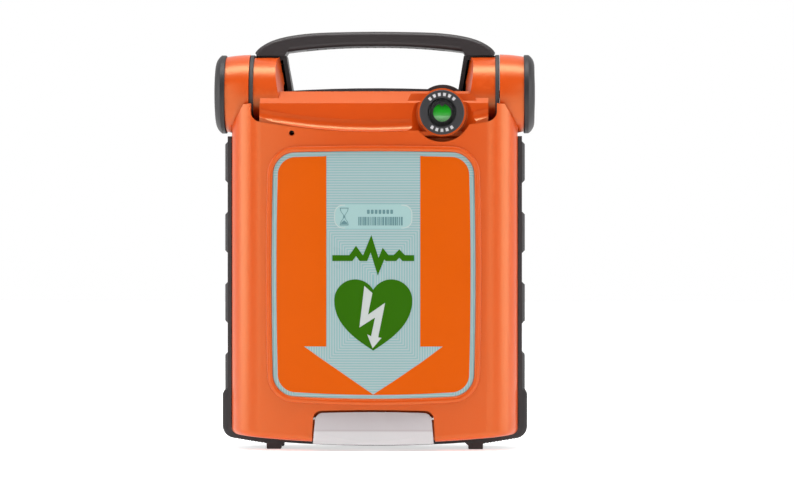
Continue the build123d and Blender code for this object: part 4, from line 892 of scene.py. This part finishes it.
def display_picture(materials):
    """A heart trace, a level bar and a small heart on the liquid crystal."""
    (x0, z0), (x1, z1) = ((corner.x / MM, corner.z / MM) for corner in DISPLAY)
    ground = [rounded(x0 + 4.6, z0 + 4.6, x1 - 4.6, z1 - 4.6, 1.5)]
    flat_print("display_ground", ground, CRYSTAL_Y - 0.06 * MM, materials["liquid_crystal"], "body")
    line = moved(BEAT, x0 + 7, z0 + 14)
    for k in (1, 2):
        line += moved(BEAT[1:], x0 + 7 + BEAT[-1][0] * k, z0 + 14)
    ink, ink_y = materials["print_black"], CRYSTAL_Y - 0.13 * MM
    flat_print("display_trace", [stroke(line, 0.8)], ink_y, ink, "body")
    heart = moved([(px, pz - 97) for px, pz in heart_outline()], x0 + 10, z1 - 9, 0.13)
    bars = [rounded(x1 - 16 + 2.2 * i, z1 - 11, x1 - 14.4 + 2.2 * i, z1 - 7.2, 0.2, 2) for i in range(4)]
    case = framed(x1 - 17, z1 - 12, x1 - 6.6, z1 - 6.2, 0.5, 0.6, 0.4, 3)
    flat_print("display_symbols", [heart] + bars + case, ink_y, ink, "body")


# The print on the rating plate: from where its rows start to where the long and the short ones end.
ROWS_START, LONG_ROW_END, SHORT_ROW_END = -30.0, 30.0, 6.0
TOP_ROW_Z, ROW_PITCH, DASH_HEIGHT, DASH_GAP = 162.6, 3.2, 1.1, 1.4
LOW_ROW_Z = 131.5


def rating_plate(materials):
    """Silver plate in its recess, with rows of dashes, a row of bars and six empty boxes."""
    plate = [rounded(-33.4, 128.6, 33.4, 167.4, 2)]
    flat_print("rating_plate", plate, RATING_FLOOR_Y, materials["plate_silver"], "body")
    chance = random.Random(11)
    outlines = []
    for row in range(6):
        low = TOP_ROW_Z - ROW_PITCH * row
        at, end = ROWS_START, LONG_ROW_END if row < 3 else SHORT_ROW_END
        while at < end - 2:
            wide = min(chance.uniform(3.0, 9.0), end - at)
            outlines.append(upright(at, wide, low, low + DASH_HEIGHT))
            at += wide + DASH_GAP
    outlines += bar_row(chance, ROWS_START, 4, LOW_ROW_Z, LOW_ROW_Z + 9, (0.5, 0.9, 1.4), (0.5, 0.8))
    for x0 in (11, 17.8, 24.6):
        for z0 in (LOW_ROW_Z, LOW_ROW_Z + 9.2):
            outlines += framed(x0, z0, x0 + 5.4, z0 + 7.4, 0.5, 0.6, 0.4, 3)
    flat_print("rating_print", outlines, RATING_FLOOR_Y + 0.05 * MM, materials["print_black"], "body")


def battery_sign(materials):
    """Outline of a battery with four full cells."""
    z = 54.0
    cells = [rounded(-13 + 6.0 * i, z - 3.6, -8.4 + 6.0 * i, z + 3.6, 0.6, 3) for i in range(4)]
    case = framed(-15, z - 5.6, 12.6, z + 5.6, 0.8, 1.6, 1.0)
    knob = [rounded(13.1, z - 2.2, 14.8, z + 2.2, 0.5, 3)]
    flat_print("battery_sign", cells + case + knob, BATTERY_BACK_Y, materials["print_white"], "battery")


# ---------------------------------------------------------------- soft pouch of pads, in millimetres
POUCH_MIDDLE = (POUCH[0] + POUCH[1]) / 2  # in metres
POUCH_HALF = (POUCH[1] - POUCH[0]) / 2 / MM
HALF_WIDTH, HALF_HEIGHT = POUCH_HALF.x - 0.2, POUCH_HALF.z - 0.2
SEAM = 8.0
SEAM_DEPTH = 0.35  # half the thickness of the flat seam
POUCH_CORNER = 8.0
EDGE_ZONE = 16  # the bag puckers this far in from its seam
PAD_HALF_WIDTH, PAD_HALF_HEIGHT = 34, 20
PAD_OFFSET = 0.36  # how far the two pads lie from the middle, as a share of half the height


def pouch_depth(x, z):
    """Half thickness of the bag at x, z from its middle."""
    u, v = abs(x) / (HALF_WIDTH - SEAM), abs(z) / (HALF_HEIGHT - SEAM)
    if u >= 1 or v >= 1:
        return SEAM_DEPTH
    swell = (1 - u**3.2) ** 0.62 * (1 - v**3.6) ** 0.62
    edge = min(1.0, min((1 - u) * (HALF_WIDTH - SEAM), (1 - v) * (HALF_HEIGHT - SEAM)) / EDGE_ZONE)
    folds = sin(x * 0.85 + 1.3 * sin(z * 0.11)) * v**4 + sin(z * 0.8 + x * 0.05) * u**4
    pucker = 0.5 * (1 - edge) * swell**0.5 * folds
    broad = mathutils_noise.noise(Vector((x * 0.045, z * 0.06, 3.1)))
    fine = mathutils_noise.noise(Vector((x * 0.13, z * 0.12, 8.7)))
    crease = 0.35 * edge * (broad + 0.5 * fine)
    pad = 0.0
    for middle in (-HALF_HEIGHT * PAD_OFFSET, HALF_HEIGHT * PAD_OFFSET):
        outside = max(abs(x) - PAD_HALF_WIDTH, 0) ** 2 + max(abs(z - middle) - PAD_HALF_HEIGHT, 0) ** 2
        pad = max(pad, 1 - outside / 20)
    pressed = 0.12 * pad * pad * (3 - 2 * pad)
    return max(0.4, POUCH_HALF.y * (0.80 * swell + pressed) + pucker + crease)


def pouch_point(x, z, side):
    """A point of the bag's front (side -1) or back (side 1) sheet, with round corners and crimped seams."""
    over_x, over_z = abs(x) - (HALF_WIDTH - POUCH_CORNER), abs(z) - (HALF_HEIGHT - POUCH_CORNER)
    if over_x > 0 and over_z > 0 and hypot(over_x, over_z) > POUCH_CORNER:
        cut = 1 - POUCH_CORNER / hypot(over_x, over_z)
        x += (1 if x < 0 else -1) * over_x * cut
        z += (1 if z < 0 else -1) * over_z * cut
    depth = pouch_depth(x, z)
    wave = 0.0
    if abs(x) > HALF_WIDTH - SEAM or abs(z) > HALF_HEIGHT - SEAM:
        along = x if abs(z) > HALF_HEIGHT - SEAM else z
        wave = 0.22 * sin(along * 0.31) + 0.12 * sin(along * 0.83 + 1.0)
        from_edge = min(HALF_WIDTH - abs(x), HALF_HEIGHT - abs(z))
        depth += 0.09 * sin(2 * pi * from_edge / 1.6)
    return POUCH_MIDDLE + Vector((x, side * depth + wave, z)) * MM


def add_pouch(materials):
    """Heat-sealed foil bag: crimped flat seams, swollen middle, the two pads pressing through."""
    nx, nz = 58, 75
    vertices, faces = [], []
    for side in (-1, 1):
        for j in range(nz + 1):
            z = HALF_HEIGHT * (2 * j / nz - 1)
            vertices += [pouch_point(HALF_WIDTH * (2 * i / nx - 1), z, side) for i in range(nx + 1)]
    row = nx + 1
    sheet = row * (nz + 1)
    for j in range(nz):
        for i in range(nx):
            a = j * row + i
            faces.append((a, a + 1, a + row + 1, a + row))
            faces.append((sheet + a, sheet + a + row, sheet + a + row + 1, sheet + a + 1))
    border = [i for i in range(row)] + [j * row + nx for j in range(1, nz + 1)]
    border += [nz * row + i for i in range(nx - 1, -1, -1)] + [j * row for j in range(nz - 1, 0, -1)]
    for a, b in zip(border, border[1:] + border[:1]):
        faces.append((a, sheet + a, sheet + b, b))
    pouch = add_mesh("pads_pouch", vertices, faces, materials["foil"], "lid", smooth=True)
    mend(pouch, merge=0.05 * MM)
    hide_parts("electrode_pouch")


def on_pouch(lift):
    """The back sheet of the pouch, which faces the user when the lid is open, moved out by lift."""
    def place(x, z):
        depth = pouch_depth((x - POUCH_MIDDLE.x) / MM, (z - POUCH_MIDDLE.z) / MM)
        return Vector((x, POUCH_MIDDLE.y + depth * MM + lift, z))

    return place


def pouch_prints(materials):
    """An orange band with the two pads drawn on it."""
    pads = []
    for x in (-20.0, 20.0):
        pads += framed(x - 12, 107, x + 12, 137, 1.6, 5, 3.8) + [circle(x, 122, 3.2, 24)]
    band = [rounded(-44, 102, 44, 142, 3)]
    for name, outlines, lift, ink in (("pouch_band", band, 0.12 * MM, "label_orange"),
                                      ("pouch_pads", pads, 0.22 * MM, "print_white")):
        inlay(name, outlines, on_pouch(lift), materials[ink], "lid", 0.05 * MM, 2.5 * MM)


# ---------------------------------------------------------------- spring of the latch
def add_latch_spring(materials):
    """Torsion spring wound along its pin, with a straight leg at each end."""
    low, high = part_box("latch_spring")
    middle = (low + high) / 2
    wire = 0.45 * MM
    radius = (high.z - low.z) / 2 - wire
    turns, steps = 11, 20
    points = [Vector((low.x + wire, middle.y + radius, middle.z - 3.4 * MM))]
    for k in range(turns * steps + 1):
        angle = 2 * pi * k / steps
        x = low.x + wire + (high.x - low.x - 2 * wire) * k / (turns * steps)
        points.append(Vector((x, middle.y + radius * cos(angle), middle.z + radius * sin(angle))))
    points.append(Vector((high.x - wire, middle.y + radius, middle.z + 4.2 * MM)))
    data = bpy.data.curves.new("latch_spring_coil", "CURVE")
    data.dimensions = "3D"
    data.bevel_depth = wire
    data.bevel_resolution = 3
    data.use_fill_caps = True
    spline = data.splines.new("POLY")
    spline.points.add(len(points) - 1)
    for point, place in zip(spline.points, points):
        point.co = (*place, 1)
    data.materials.append(materials["steel"])
    spring = bpy.data.objects.new("latch_spring_coil", data)
    SCENE.collection.objects.link(spring)
    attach(spring, "lid")
    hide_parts("latch_spring")


# ---------------------------------------------------------------- run
add_camera()
for soft_box in SOFT_BOXES:
    add_soft_box(*soft_box)
add_room()
add_floor()
materials = make_materials()
dress_cad(materials)
label_graphics(materials)
add_rim_bead(materials)
window_print(materials)
indicator_ticks(materials)
button_prints(materials)
control_panel_prints(materials)
display_picture(materials)
rating_plate(materials)
battery_sign(materials)
add_pouch(materials)
pouch_prints(materials)
add_latch_spring(materials)

SCENE.view_settings.view_transform = "Standard"
